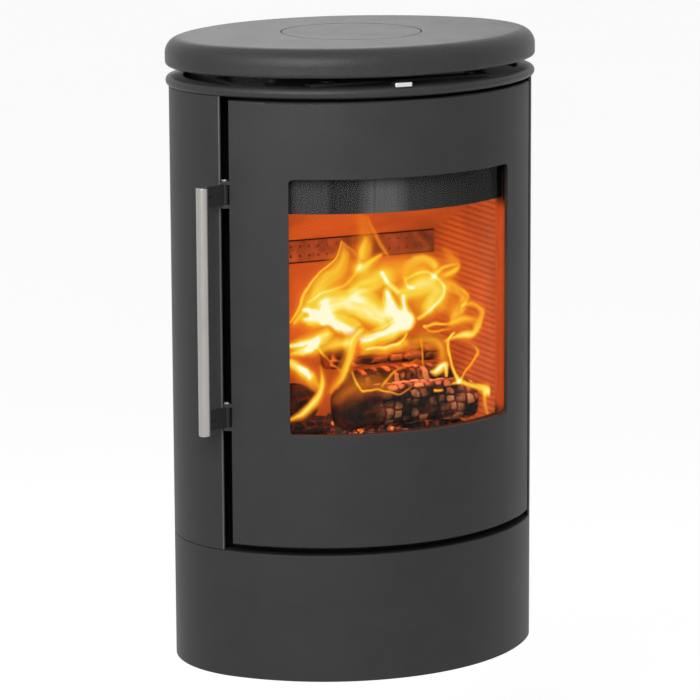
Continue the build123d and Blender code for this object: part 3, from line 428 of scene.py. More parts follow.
class StoveFire(bpy.types.PropertyGroup):
    """The fire's sizes."""

    strength: power("Flame strength", "How brightly the flames show", 1.0)
    glow: power("Glow", "Power of the fire's light on the linings, in watts", 0.6)
    coal: length("Coal size", "Width of a lump of charcoal", 0.011, min=0.002)
    coals: bpy.props.IntProperty(
        name="Coals", description="Lumps of charcoal in the ember bed", default=420, min=1)


class StoveStudio(bpy.types.PropertyGroup):
    """The studio round the stove."""

    drop: length("Floor drop", "How far the floor lies under the hanging stove", 0.42, min=0.0)
    ambient: power("Ambient", "Strength of the even light from all round", 0.22)
    key: power("Key lamp", "Power of the large soft lamp at the front left, in watts", 21.0)
    sheen: power("Sheen lamp", "Power of the lamp behind, which the top plate mirrors, in watts",
                 2.7)


# Paint and metal

def stove_paint(name, colour, grain_depth, grain_scale, roughness, edge, end=None):
    """Matt heat-proof paint over cast iron or sheet. end is the y of a bent sheet's cut edge, where
    a painted highlight, a pale line of light catching the edge, is laid on."""
    bench = new_finish(name)
    spot = bench.place()
    cloud = bench.noise(spot, 22.0, 4.0)
    grain = bench.noise(spot, grain_scale, 3.0, 0.65)
    speck = bench.noise(spot, grain_scale * 0.42, 2.0)
    tone = cloud.over(0.3, 0.7)
    colour_now = bench.mix(tone, shade(colour, 0.93), shade(colour, 1.07))
    colour_now = bench.mix(speck.over(0.58, 0.75), colour_now, shade(colour, 1.22))
    # Painted highlight: a pale line along the sheet's cut edge, where light catches it.
    if end is not None:
        depth = bench.split(spot).also("Y")
        painted_edge_highlight = 1 - depth.over(end + 0.0006, end + 0.0014)
        colour_now = bench.mix(painted_edge_highlight, colour_now, shade(colour, 4.5))
    rough = roughness + (cloud - 0.5) * 0.10 + (grain - 0.5) * 0.22
    height = grain * 0.7 + speck * 0.6
    return bench.surface(
        Base_Color=colour_now, Roughness=rough, Specular_IOR_Level=0.25,
        Normal=bench.bump(height, grain_depth, 0.8, bench.worn_edge(edge)))


def burnt_and_firelit_paint(name, inner, outer):
    """Paint burnt brown beside the fire, with painted firelight glowing on it from inner to outer
    off the middle.
    """
    bench = new_finish(name)
    spot = bench.place()
    across = bench.split(spot)
    height = across.also("Z")
    off = abs(across)
    # Painted light: the jamb glows orange as if the fire lit it, though it is no lamp.
    firelit_jamb = off.over(inner, inner + 0.004) * (1 - off.over(outer, outer + 0.002))
    cloud = bench.noise(spot, 60.0, 4.0)
    glow = (firelit_jamb * height.over(-0.050, -0.034) * (1 - height.over(0.185, 0.203))
            * (0.7 + cloud * 0.5))
    brown = bench.mix(cloud, (0.03, 0.017, 0.011), (0.07, 0.038, 0.024))
    return bench.surface(
        Base_Color=bench.mix(height.over(0.265, 0.300), brown, (0.014, 0.013, 0.013)),
        Roughness=0.8, Specular_IOR_Level=0.1, Emission_Strength=1.0,
        Emission_Color=bench.mix(glow, DARK, (0.50, 0.058, 0.006)))


class STOVE_OT_paint(bpy.types.Operator):
    """Paints the castings, the sheet panels and the hidden steel"""
    bl_idname = "stove.paint"
    bl_label = "Paint"

    def execute(self, context):
        looks = context.scene.stove_looks
        paint = tuple(looks.paint)
        cast = stove_paint("cast_paint", paint, looks.grain * 2.5, 620.0, 0.40, 0.0009)
        sheet = stove_paint("sheet_paint", paint, looks.grain * 0.4, 1300.0, 0.52, 0.0007)
        hidden = stove_paint("inside_paint", tuple(looks.inside), looks.grain * 0.5, 1000.0, 0.62,
                             0.0006)
        coat(cast, "top_plate", "top_disc", "top_frame", "flue_cover", "base_plate")
        panel = stove_paint("panel_paint", paint, looks.grain * 0.4, 1300.0, 0.52, 0.0007,
                            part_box("side_panel_left")[0][1])
        coat(sheet, "base_shell", "back_panel", "door_shell")
        coat(panel, "side_panel_left", "side_panel_right")
        coat(burnt_and_firelit_paint("burnt_firelit_front", 0.118, 0.152), "firebox_front")
        coat(burnt_and_firelit_paint("burnt_firelit_frame", 0.130, 0.1415), "door_frame")
        coat(hidden, "floor_plate", "air_box", "air_spigot", "firebox_shell", "firebox_back",
             "air_guide", "pan_runners", "flue_spigot", "hanger_frame", "wall_bracket",
             "handle_bracket_lower", "handle_bracket_upper", "glass_tape", "air_shutter", "ash_pan",
             "tie_rods", "shutter_guides")
        return {"FINISHED"}


def brushed(name, colour, roughness, along, lines=2600.0):
    """Brushed steel, its fine lines running along one axis (0, 1 or 2)."""
    bench = new_finish(name)
    scale = [lines, lines, lines]
    scale[along] = lines / 90.0
    fine = bench.noise(bench.place(tuple(scale)), 1.0, 2.0)
    broad = bench.noise(bench.place((60.0, 60.0, 8.0)), 1.0, 3.0)
    tone = bench.mix(fine, shade(colour, 0.82), shade(colour, 1.1))
    rough = roughness + (fine - 0.5) * 0.18 + (broad - 0.5) * 0.08
    return bench.surface(Base_Color=tone, Metallic=1.0, Roughness=rough,
                         Normal=bench.bump(fine, 0.00003, 0.5, bench.worn_edge(0.0004)))


def rough_iron(name, colour):
    """Bare iron burnt dull, with scale and pitting."""
    bench = new_finish(name)
    spot = bench.place()
    cloud = bench.noise(spot, 45.0, 5.0, 0.6)
    grain = bench.noise(spot, 700.0, 3.0)
    tone = bench.stops(cloud, [(0.3, shade(colour, 0.55)), (0.5, colour),
                               (0.62, (colour[0] * 1.5, colour[1] * 1.1, colour[2] * 0.8)),
                               (0.75, shade(colour, 1.5))])
    rough = 0.55 + (cloud - 0.5) * 0.4
    relief = bench.bump(grain * 0.6 + cloud, 0.0004, 0.7, bench.worn_edge(0.0005))
    return bench.surface(Base_Color=tone, Metallic=0.35, Roughness=rough, Normal=relief)


class STOVE_OT_metal(bpy.types.Operator):
    """Gives the handle, the lever tip, the fasteners and the bare iron their metal"""
    bl_idname = "stove.metal"
    bl_label = "Metal"

    def execute(self, context):
        coat(brushed("brushed_stainless", (0.42, 0.405, 0.385), 0.34, 2), "handle_bar")
        coat(brushed("polished_tip", (0.78, 0.77, 0.75), 0.22, 0), "lever_tip")
        coat(brushed("zinc_steel", (0.52, 0.52, 0.51), 0.36, 0, 900.0), "handle_pins", "hinge_pins",
             "hinge_washer", "spigot_screws", "door_screws", "lock_screws", "handle_studs",
             "latch_keepers")
        coat(rough_iron("burnt_iron", (0.10, 0.09, 0.08)), "grate", "grate_frame")
        bench = new_finish("burnt_bar_shade_and_firelight")
        spot = bench.place()
        height = bench.split(spot).also("Z")
        # Painted shade: dark lines along the bar's top and bottom, where it meets the parts beside
        # it.
        painted_rim_shade = (1 - height.over(*BAR_SHADED_RIMS[0])) + height.over(*BAR_SHADED_RIMS[1])
        cloud = bench.noise(spot, 45.0, 5.0, 0.6)
        tone = bench.mix(cloud.over(0.35, 0.65), (0.13, 0.065, 0.040), (0.30, 0.15, 0.085))
        # Painted light: the bar glows orange as if lit by the fire, though it is no lamp.
        glow = bench.mix(painted_rim_shade.over(0.0, 1.0, 1.0, 0.0) * cloud, DARK, (0.16, 0.020, 0.003))
        bench.surface(Base_Color=bench.mix(painted_rim_shade, tone, (0.01, 0.004, 0.002)), Roughness=0.75,
                      Specular_IOR_Level=0.1, Emission_Strength=1.0, Emission_Color=glow)
        coat(bench.owner, "air_bar")
        return {"FINISHED"}


class STOVE_OT_window(bpy.types.Operator):
    """Makes the window's glass and the steel strip behind its top, with painted reflections on the
    strip
    """
    bl_idname = "stove.window"
    bl_label = "Window"

    def execute(self, context):
        bench = new_finish("clear_glass")
        edge = bench.add("ShaderNodeLayerWeight", None, {"Blend": 0.5}, output="Facing") ** 4
        soot = bench.noise(bench.place((1.0, 1.0, 0.5)), 16.0, 3.0).over(0.45, 0.8)
        bench.surface(Base_Color=(0.92, 0.92, 0.9, 1.0), Metallic=1.0,
                      Roughness=0.02 + soot * 0.05, Alpha=0.004 + edge * 0.15)
        coat(bench.owner, "window_glass")

        # Painted reflections: broad upright bands of reflected light and dark from left to right:
        # grey, darker, pale, then fading out.
        bench = new_finish("steel_with_painted_reflections")
        spot = bench.add("ShaderNodeTexCoord", output="Object")
        across = bench.split(spot)
        fine = bench.noise(bench.place((420.0, 420.0, 6.0)), 1.0, 3.0)
        part = (across + LINING_FACE) / (2 * LINING_FACE)
        painted_reflection_band = bench.stops(part, [(place, (grey,) * 3) for place, grey in (
            (0.0, 0.01), (0.06, 0.06), (0.16, 0.06), (0.18, 0.03), (0.28, 0.04), (0.34, 0.12),
            (0.44, 0.12), (0.50, 0.05), (0.90, 0.02), (1.0, 0.01))])
        tone = bench.mix(fine.over(0.45, 0.75) * 0.4, painted_reflection_band, (0.01, 0.01, 0.01))
        bench.surface(Base_Color=tone, Metallic=0.0, Roughness=0.5 + (fine - 0.5) * 0.2,
                      Specular_IOR_Level=0.0, Normal=bench.bump(fine, 0.00005, 0.5))
        coat(bench.owner, "wash_strip")
        return {"FINISHED"}


# Rope seal

class STOVE_OT_rope(bpy.types.Operator):
    """Lays the braided rope seal in the door frame's groove"""
    bl_idname = "stove.rope"
    bl_label = "Rope seal"

    def execute(self, context):
        low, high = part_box("door_rope")
        deep = 0.005
        radius = 0.0024
        loop_radius = abs(low[1] - DOOR_AXIS.y) - deep / 2
        half = math.asin((high[0] - 0.0054) / loop_radius)
        bottom = low[2] + 0.0054
        top = high[2] - 0.0054
        corner = 0.006

        def spot(angle, z):
            return (loop_radius * math.sin(angle), DOOR_AXIS.y - loop_radius * math.cos(angle), z)

        bend = corner / loop_radius
        wide = 2 * half - 2 * bend
        tall = top - bottom - 2 * corner
        across = [wide * step / ROUTE_ACROSS for step in range(ROUTE_ACROSS + 1)]
        up = [tall * step / ROUTE_UP for step in range(ROUTE_UP + 1)]
        route = ([spot(-half + bend + a, bottom) for a in across]
                 + [spot(half, bottom + corner + z) for z in up]
                 + [spot(half - bend - a, top) for a in across]
                 + [spot(-half, top - corner - z) for z in up])
        curve = bpy.data.curves.new("rope_route", "CURVE")
        curve.dimensions = "3D"
        line = curve.splines.new("POLY")
        line.points.add(len(route) - 1)
        for point, place in zip(line.points, route):
            point.co = (*place, 1.0)
        line.use_cyclic_u = True
        source = bpy.data.objects.new("rope_route", curve)
        context.scene.collection.objects.link(source)

        bench = new_finish("glass_rope")
        fibre = bench.noise(bench.place(), 2400.0, 3.0)
        cloud = bench.noise(bench.place(), 60.0, 3.0)
        tone = bench.mix(fibre, (0.035, 0.034, 0.033), (0.16, 0.155, 0.15))
        tone = bench.mix(cloud.over(0.5, 0.8) * 0.5, tone, (0.03, 0.022, 0.018))
        bench.surface(Base_Color=tone, Roughness=0.85, Specular_IOR_Level=0.2,
                      Normal=bench.bump(fibre, 0.0002, 0.7))

        tree = Tree("braid")
        thick = tree.value("Strand", "Float", 0.0013)
        wide = tree.value("Lay", "Float", 0.0013)
        turns = tree.value("Turns", "Float", 190.0)
        count = tree.value("Steps", "Int", 1900)
        paint = tree.value("Finish", "Material", None)
        path = tree.out("GeometryNodeResampleCurve", None,
                        {"Curve": tree.start.outputs["Geometry"], "Count": count})
        along = tree.add("GeometryNodeSplineParameter").outputs["Factor"]
        normal = tree.out("GeometryNodeInputNormal")
        cross = tree.vector("CROSS_PRODUCT", tree.out("GeometryNodeInputTangent"), normal)
        ring = tree.out("GeometryNodeCurvePrimitiveCircle", None,
                        {"Resolution": 6, "Radius": thick})
        angle = tree.number("MULTIPLY", along, tree.number("MULTIPLY", turns, math.tau))
        strands = []
        for number in range(3):
            shifted = tree.number("ADD", angle, number * math.tau / 3)
            parts = [tree.scaled(direction,
                                 tree.number("MULTIPLY", tree.number(operation, shifted), wide))
                     for direction, operation in ((normal, "COSINE"), (cross, "SINE"))]
            moved = tree.out("GeometryNodeSetPosition", None,
                             {0: path, "Offset": tree.vector("ADD", *parts)})
            strands.append(tree.out("GeometryNodeCurveToMesh", None,
                                    {"Curve": moved, "Profile Curve": ring}))
        tree.finish(tree.out("GeometryNodeJoinGeometry", None, {0: strands}), paint)
        rope = tree.grow(source, "rope_braid", {
            "Strand": radius * 0.52, "Lay": radius * 0.48, "Turns": 190.0, "Steps": 1900,
            "Finish": bench.owner})
        rope.data.polygons.foreach_set("use_smooth", [True] * len(rope.data.polygons))
        dress(rope, "door", "door_rope")
        return {"FINISHED"}


# Firebox

def fire_board(name, board, strength, groove=0.0):
    """Sooted fire board with painted firelight, glowing a little as if lit by the fire, and painted
    shade in its ribs' grooves, where it is darker and glows less.
    """
    bench = new_finish(name)
    spot = bench.place()
    soot = bench.noise(spot, 14.0, 5.0, 0.6)
    pits = bench.noise(spot, 420.0, 3.0, 0.7)
    tone = bench.mix(soot.over(0.35, 0.75), board, shade(board, 0.62))
    tone = bench.mix(pits.over(0.55, 0.8) * 0.6, tone, shade(board, 0.4))
    # Painted light: the emission stands in for the fire's light falling on the board.
    glow = bench.mix(soot.over(0.35, 0.75), (0.30, 0.038, 0.003), (0.19, 0.021, 0.0015))
    glow = bench.mix(pits.over(0.55, 0.8) * 0.5, glow, (0.08, 0.006, 0.0005))
    if groove:
        # Painted shade: the ribs' grooves are painted darker and glow less.
        height = bench.split(spot).also("Z")
        part = ((height - HEARTH) / RIB_PITCH).math("FRACT")
        deep = 1 - abs(part - 0.5).over(0.14, 0.28)
        glow = bench.mix(deep * groove, glow, (0.05, 0.004, 0.0004))
        tone = bench.mix(deep * groove, tone, shade(board, 0.25))
    return bench.surface(Base_Color=tone, Roughness=0.9, Specular_IOR_Level=0.1,
                         Emission_Color=glow, Emission_Strength=strength,
                         Normal=bench.bump(pits + soot * 0.8, 0.0006, 0.8, bench.worn_edge(0.001)))


class STOVE_OT_linings(bpy.types.Operator):
    """Gives the linings and the baffle their sooted fire board with painted firelight, and the side
    linings painted shade in their grooves
    """
    bl_idname = "stove.linings"
    bl_label = "Linings"

    def execute(self, context):
        board = tuple(context.scene.stove_looks.board)
        coat(fire_board("fire_board", board, 1.4), "lining_back", "baffle")
        coat(fire_board("side_board_painted_firelight_and_groove_shade", board, 1.7, 0.42), "lining_left", "lining_right")
        return {"FINISHED"}


def char_finish(name, glow):
    """Charred wood: black char, paler burnt blocks, painted light that makes it paler towards +x,
    and cracks that glow by the amount of glow.
    """
    bench = new_finish(name)
    block = bench.add("ShaderNodeAttribute", {"attribute_name": "block"}, output="Fac")
    crack = bench.add("ShaderNodeAttribute", {"attribute_name": "crack"}, output="Fac")
    spot = bench.place()
    grit = bench.noise(spot, 520.0, 4.0, 0.65)
    patch = bench.noise(spot, 38.0, 3.0)
    across = bench.split(spot)
    # Painted light: the char grows paler towards +x, as if lit more from that side.
    painted_side_light = across.over(-0.030, 0.045, 0.25, 1.0)
    pale = ((block * 0.7 + (patch - 0.5) * 1.9 + (grit - 0.5) * 0.6 + 0.16) * (1 - crack)) * painted_side_light
    tone = bench.stops(pale, [(0.0, (0.004, 0.002, 0.0015)), (0.22, (0.018, 0.009, 0.005)),
                              (0.40, (0.16, 0.072, 0.034)), (0.62, (0.46, 0.22, 0.095)),
                              (1.0, (0.74, 0.44, 0.22))])
    heat = crack * patch.over(0.42, 0.62) * glow
    fire = bench.stops(heat, [(0.0, DARK), (0.35, (0.35, 0.03, 0.004)),
                              (0.8, (1.0, 0.20, 0.02)), (1.0, (1.0, 0.55, 0.12))])
    bench.surface(Base_Color=tone, Roughness=0.85, Specular_IOR_Level=0.25,
                  Emission_Color=fire, Emission_Strength=1.0,
                  Normal=bench.bump(grit, 0.0007, 0.9))
    return bench.owner


def charred_log(name, start, end, flats, bark, blocks, seed, material):
    """A split log from start to end. flats are (direction, distance) of its split faces, bark is
    the radius of its bark side, and blocks the size of the char's blocks along and round it."""
    grain = Grain(seed)
    start = np.array(start)
    end = np.array(end)
    length = float(np.linalg.norm(end - start))
    forward = (end - start) / length
    side = np.cross(forward, (0.0, 0.0, 1.0))
    side /= np.linalg.norm(side)
    up = np.cross(side, forward)
    along_count = int(length / LOG_STEP)
    round_count = LOG_SIDES
    cap = LOG_CAP_RINGS
    turn = np.arange(round_count) / round_count * math.tau
    near = bark ** -8.0 * np.ones(round_count)
    for direction, distance in flats:
        near += (np.clip(np.cos(turn - math.radians(direction)), 0, None) / distance) ** 8
    outline = near ** (-1 / 8)
    rings = ([(0.0, (step + 0.5) / cap) for step in range(cap)]
             + [(step / along_count, 1.0) for step in range(along_count + 1)]
             + [(1.0, 1 - (step + 0.5) / cap) for step in range(cap)])
    place = np.array([r[0] for r in rings])[:, None]
    size = np.array([r[1] for r in rings])[:, None]
    angle = turn[None, :]
    mean = float(outline.mean())
    cells = max(6, int(round(math.tau * mean / blocks[1])))
    u = place * length / blocks[0] + 0.35 * grain(angle * 2.0, place * 9.0, 3.3)
    v = angle / math.tau * cells + 0.25 * grain(np.cos(angle) * 2, np.sin(angle) * 2, place * 12.0)
    u, v = np.broadcast_arrays(u, v)
    cell_u = np.floor(u).astype(np.int64)
    cell_v = np.floor(v).astype(np.int64)
    first = np.full(u.shape, 9.0)
    second = np.full(u.shape, 9.0)
    block = np.zeros(u.shape)
    for du in (-1, 0, 1):
        for dv in (-1, 0, 1):
            cu = cell_u + du
            cv = cell_v + dv
            wrapped = np.mod(cv, cells)
            pu = cu + 0.28 + 0.44 * grain.corner(cu, wrapped, 11 + 0 * cu)
            pv = cv + 0.28 + 0.44 * grain.corner(cu, wrapped, 29 + 0 * cu)
            far = (np.abs(u - pu) ** 7 + np.abs(v - pv) ** 7) ** (1 / 7)
            nearer = far < first
            second = np.where(nearer, first, np.minimum(second, far))
            block = np.where(nearer, grain.corner(cu, wrapped, 53 + 0 * cu), block)
            first = np.where(nearer, far, first)
    gap = second - first
    crack = 1 - smooth(gap, 0.05, 0.26)
    crack = crack * np.where(size < 1, 0.5, 1.0)
    wave = grain(np.cos(angle) * 1.5, np.sin(angle) * 1.5, place * 4.0)
    radius = outline[None, :] * (0.955 + 0.05 * wave)
    end_round = 1 - 0.10 * np.clip(1 - np.minimum(place, 1 - place) * length / 0.008, 0, 1) ** 2
    rise = (-0.0030 * crack + 0.0022 * (block - 0.5) - 0.0014 * first
            + 0.0006 * grain(place * length * 400, np.cos(angle) * 9, np.sin(angle) * 9))
    radius = (radius * end_round + rise * np.where(size < 1, 0.0, 1.0)) * size
    outwards = np.where(place < 0.5, -1.0, 1.0) * (1 - size ** 2) * 0.004
    rays = 0.0016 * grain(np.cos(angle) * size * 14, np.sin(angle) * size * 14, place * 5.0)
    shift = place * length + outwards + np.where(size < 1, rays, 0.0)
    bend = 0.0015 * np.sin(place * math.pi)
    points = (start + forward * shift[..., None] + side * (radius * np.cos(angle))[..., None]
              + up * (radius * np.sin(angle) + bend)[..., None])
    flat = points.reshape(-1, 3)
    middle_low = flat[:round_count].mean(axis=0)
    middle_high = flat[-round_count:].mean(axis=0)
    points = np.vstack([flat, middle_low, middle_high])
    faces = []
    for ring in range(len(rings) - 1):
        base = ring * round_count
        for step in range(round_count):
            following = (step + 1) % round_count
            faces.append((base + step, base + following, base + round_count + following,
                          base + round_count + step))
    low_tip = len(flat)
    last = (len(rings) - 1) * round_count
    for step in range(round_count):
        following = (step + 1) % round_count
        faces.append((low_tip, following, step))
        faces.append((low_tip + 1, last + step, last + following))
    values = {"block": np.append(block.reshape(-1), [0.5, 0.5]),
              "crack": np.append(crack.reshape(-1), [0.3, 0.3])}
    piece = mesh_piece(name, points, faces, material, values)
    shell = bmesh.new()
    shell.from_mesh(piece.data)
    bmesh.ops.recalc_face_normals(shell, faces=shell.faces)
    shell.to_mesh(piece.data)
    shell.free()
    return piece


class STOVE_OT_logs(bpy.types.Operator):
    """Lays the charred logs on the embers"""
    bl_idname = "stove.logs"
    bl_label = "Logs"

    def execute(self, context):
        black = char_finish("black_char", 0.16)
        hot = char_finish("glowing_char", 0.7)
        front = charred_log("charred_front", (-0.033, -0.2265, -0.0445), (0.134, -0.2265, -0.0445),
                            [(90, 0.0262), (-90, 0.0235), (200, 0.0285)], 0.0288,
                            (0.0115, 0.0115), 4, black)
        middle = charred_log("charred_middle", (-0.001, -0.178, -0.0370), (0.131, -0.177, -0.0365),
                             [(90, 0.0280), (-90, 0.024), (180, 0.021), (0, 0.021)], 0.0300,
                             (0.0075, 0.026), 9, black)
        back = charred_log("charred_back", (-0.012, -0.144, -0.0005), (0.134, -0.143, 0.0005),
                           [(60, 0.0165), (-90, 0.0155), (190, 0.0155)], 0.0175,
                           (0.024, 0.010), 15, hot)
        stub = charred_log("charred_stub", (-0.126, -0.255, -0.054), (-0.058, -0.240, -0.056),
                           [(90, 0.0120), (-90, 0.0110)], 0.0150, (0.016, 0.010), 23, black)
        left = charred_log("charred_left", (-0.130, -0.205, -0.046), (-0.052, -0.172, -0.042),
                           [(80, 0.0225), (-90, 0.021)], 0.0260, (0.018, 0.012), 27, black)
        for piece, node in ((front, "log_front"), (middle, "log_middle"), (back, "log_back"),
                            (stub, None), (left, None)):
            dress(piece, "stove", node)
        return {"FINISHED"}


class STOVE_OT_embers(bpy.types.Operator):
    """Heaps the ember bed with lumps of charcoal"""
    bl_idname = "stove.embers"
    bl_label = "Embers"

    def execute(self, context):
        fire = context.scene.stove_fire
        low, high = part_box("ember_bed")
        grain = Grain(21)
        columns, rows = 96, 52
        xs = np.linspace(low[0], high[0], columns)
        ys = np.linspace(low[1], high[1], rows)
        x, y = np.meshgrid(xs, ys)
        middle = ((low[0] + high[0]) / 2, (low[1] + high[1]) / 2)
        away = np.sqrt(((x - middle[0]) / (high[0] - low[0]) * 2) ** 2
                       + ((y - middle[1]) / (high[1] - low[1]) * 2) ** 2)
        z = (low[2] + 0.0005 + (high[2] - low[2] - 0.0035) * (1 - smooth(away, 0.55, 1.05))
             + 0.0022 * grain(x * 60, y * 60, 0.5) * (1 - smooth(away, 0.8, 1.05)))
        points = np.stack([x, y, z], -1).reshape(-1, 3)

        bench = new_finish("embers")
        spot = bench.place()
        lump = bench.noise(spot, 75.0, 4.0, 0.6)
        grit = bench.noise(spot, 600.0, 3.0)
        tone = bench.stops(lump + (grit - 0.5) * 0.3,
                           [(0.3, (0.006, 0.005, 0.004)), (0.5, (0.035, 0.028, 0.022)),
                            (0.62, (0.14, 0.11, 0.09)), (0.8, (0.30, 0.26, 0.22))])
        hot = bench.noise(spot, 46.0, 3.0, 0.7)
        heat = hot.over(0.50, 0.72) * (0.4 + grit * 1.2)
        glow = bench.stops(heat, [(0.0, DARK), (0.3, (0.28, 0.02, 0.002)),
                                  (0.65, (1.0, 0.16, 0.012)), (1.0, (1.0, 0.50, 0.09))])
        bench.surface(Base_Color=tone, Roughness=0.9, Specular_IOR_Level=0.2, Emission_Color=glow,
                      Emission_Strength=1.0, Normal=bench.bump(grit + lump, 0.0008, 0.9))
        heap = mesh_piece("ember_heap", points, grid_faces(columns, rows), bench.owner)

        tree = Tree("coals")
        wide = tree.value("Coal", "Float", 0.011)
        density = tree.value("Count", "Float", 15000.0)
        paint = tree.value("Finish", "Material", None)
        spread = tree.out("GeometryNodeDistributePointsOnFaces", {"distribute_method": "RANDOM"},
                          {"Mesh": tree.start.outputs["Geometry"], "Density": density, "Seed": 5})
        ball = tree.out("GeometryNodeMeshIcoSphere", None, {"Radius": 0.5, "Subdivisions": 2})
        spot = tree.out("GeometryNodeInputPosition")
        rough = tree.add("ShaderNodeTexNoise", None, {"Vector": spot, "Scale": 2.6, "Detail": 2.0})
        push = tree.vector("SUBTRACT", rough.outputs["Color"], (0.5, 0.5, 0.5))
        lump = tree.out("GeometryNodeSetPosition", None,
                        {0: ball, "Offset": tree.scaled(push, 0.75)})
        turn = tree.out("FunctionNodeRandomValue", {"data_type": "FLOAT_VECTOR"},
                        {0: (0.0, 0.0, 0.0), 1: (6.28, 6.28, 6.28), "Seed": 8})
        size = tree.out("FunctionNodeRandomValue", {"data_type": "FLOAT_VECTOR"},
                        {0: (0.6, 0.6, 0.45), 1: (1.7, 1.2, 0.8), "Seed": 9})
        coals = tree.out("GeometryNodeInstanceOnPoints", None,
                         {"Points": spread, "Instance": lump, "Rotation": turn,
                          "Scale": tree.scaled(size, wide)})
        tree.finish(tree.out("GeometryNodeJoinGeometry", None,
                             {0: [tree.start.outputs["Geometry"], coals]}), paint)
        area = (high[0] - low[0]) * (high[1] - low[1])
        bed = tree.grow(heap, "ember_coals", {"Coal": fire.coal, "Count": fire.coals / area,
                                              "Finish": bench.owner})
        limit = np.empty(len(bed.data.vertices) * 3)
        bed.data.vertices.foreach_get("co", limit)
        limit = limit.reshape(-1, 3)
        limit[:, 2] = np.maximum(limit[:, 2], HEARTH + 0.0004)
        limit[:, 1] = np.clip(limit[:, 1], *EMBER_DEPTH)
        limit[:, 0] = np.clip(limit[:, 0], -LINING_FACE, LINING_FACE)
        bed.data.vertices.foreach_set("co", limit.reshape(-1))
        bed.data.update()
        dress(bed, "stove", "ember_bed")
        return {"FINISHED"}


# Flames

def tongue_path(tongue):
    """Fine points along a tongue's smooth path, each (x, z, half width, heat)."""
    path = np.array(tongue, dtype=float)
    count = len(path)
    fine = []
    for index in range(count - 1):
        before = path[max(index - 1, 0)]
        here = path[index]
        there = path[index + 1]
        after = path[min(index + 2, count - 1)]
        for part in np.arange(0, 1, 0.125):
            fine.append(0.5 * (2 * here + (there - before) * part
                               + (2 * before - 5 * here + 4 * there - after) * part ** 2
                               + (3 * here - before - 3 * there + after) * part ** 3))
    fine.append(path[-1])
    return fine


def tongues_heat(x, z, tongues, grain):
    """The heat at points of a flame sheet: soft bodies, streaked lengthwise, with bright edges."""
    total = np.zeros(x.shape)
    for number, tongue in enumerate(tongues):
        fine = tongue_path(tongue)
        best = np.full(x.shape, 9.0)
        along = np.zeros(x.shape)
        across = np.zeros(x.shape)
        heat = np.zeros(x.shape)
        run = 0.0
        for here, there in zip(fine[:-1], fine[1:]):
            step = there - here
            size = max(math.hypot(step[0], step[1]), 1e-6)
            dx, dz = x - here[0], z - here[1]
            part = np.clip((dx * step[0] + dz * step[1]) / size ** 2, 0, 1)
            width = np.maximum(here[2] + step[2] * part, 0.0008)
            away = np.sqrt((dx - part * step[0]) ** 2 + (dz - part * step[1]) ** 2) / width
            nearer = away < best
            side = (dx * step[1] - dz * step[0]) / size / width
            best = np.where(nearer, away, best)
            along = np.where(nearer, (run + part * size) / 0.03, along)
            across = np.where(nearer, side, across)
            heat = np.where(nearer, here[3] + step[3] * part, heat)
            run += size
        streak = grain(across * 1.7 + number * 5.3, along * 0.55, number * 1.9)
        edge = 1.0 + 0.25 * grain(along * 1.3, across * 0.4, number * 3.1)
        near = best / edge
        soft = np.exp(-near ** 2 * 1.25)
        line = (np.exp(-((near - 0.95) / 0.11) ** 2)
                * smooth(grain(along * 0.8, number * 2.2, 4.4, 2), -0.3, 0.4))
        value = heat * (soft * (1.0 + 0.46 * streak) + 0.15 * line)
        total += np.clip(value, 0, None) ** 1.6
    return total ** (1 / 1.6)


def flame_sheet(name, depth, bow, tongues, seed, material):
    """A thin sheet of flame, cut out along its tongues, its heat kept on its points."""
    grain = Grain(seed)
    spans = np.array([p for t in tongues for p in t])
    left = max(spans[:, 0].min() - 0.03, -LINING_FACE)
    right = min(spans[:, 0].max() + 0.03, LINING_FACE)
    low = max(spans[:, 1].min() - 0.02, EMBER_TOP - 0.006)
    high = spans[:, 1].max() + 0.03
    columns = int((right - left) / FLAME_STEP)
    rows = int((high - low) / FLAME_STEP)
    x, z = np.meshgrid(np.linspace(left, right, columns), np.linspace(low, high, rows))
    reach = 0.45 + 0.55 * smooth(z, -0.07, 0.06)
    wx = x + reach * (0.0060 * grain(x * 30, z * 20, 0.3) + 0.0022 * grain(x * 120, z * 70, 4.7, 2))
    wz = z + reach * (0.0070 * grain(x * 26, z * 18, 9.1) + 0.0018 * grain(x * 110, z * 80, 2.2, 2))
    heat = tongues_heat(wx, wz, tongues, grain)
    heat = heat * smooth(np.minimum(x - left, right - x), 0.0, 0.004)
    y = depth - bow * (1 - (x / 0.14) ** 2) + 0.005 * grain(x * 20, z * 14, 1.4, 2)
    points = np.stack([x, y, z], -1).reshape(-1, 3)
    values = heat.reshape(-1)
    keep = heat > FAINTEST_FLAME
    used = keep[:-1, :-1] | keep[1:, :-1] | keep[:-1, 1:] | keep[1:, 1:]
    row, column = np.nonzero(used)
    base = row * columns + column
    faces = np.stack([base, base + 1, base + columns + 1, base + columns], -1)
    wanted, order = np.unique(faces, return_inverse=True)
    faces = order.reshape(faces.shape)
    piece = mesh_piece(name, points[wanted], faces, material, {"warmth": values[wanted]})
    dress(piece, "stove")


def flame_finish(strength):
    bench = new_finish("flame")
    heat = bench.add("ShaderNodeAttribute", {"attribute_name": "warmth"}, output="Fac")
    fire = bench.stops(heat, [(0.0, (0.86, 0.13, 0.006)), (0.28, (0.92, 0.20, 0.008)),
                              (0.46, (0.94, 0.31, 0.010)), (0.62, (0.92, 0.45, 0.016)),
                              (0.78, (0.94, 0.63, 0.045)), (0.92, (0.99, 0.82, 0.22)),
                              (1.0, (1.0, 0.96, 0.66))])
    bench.surface(Base_Color=(0.0, 0.0, 0.0, 1.0), Roughness=1.0, Specular_IOR_Level=0.0,
                  Emission_Color=fire, Emission_Strength=strength, Alpha=heat.over(0.04, 0.74))
    return bench.owner
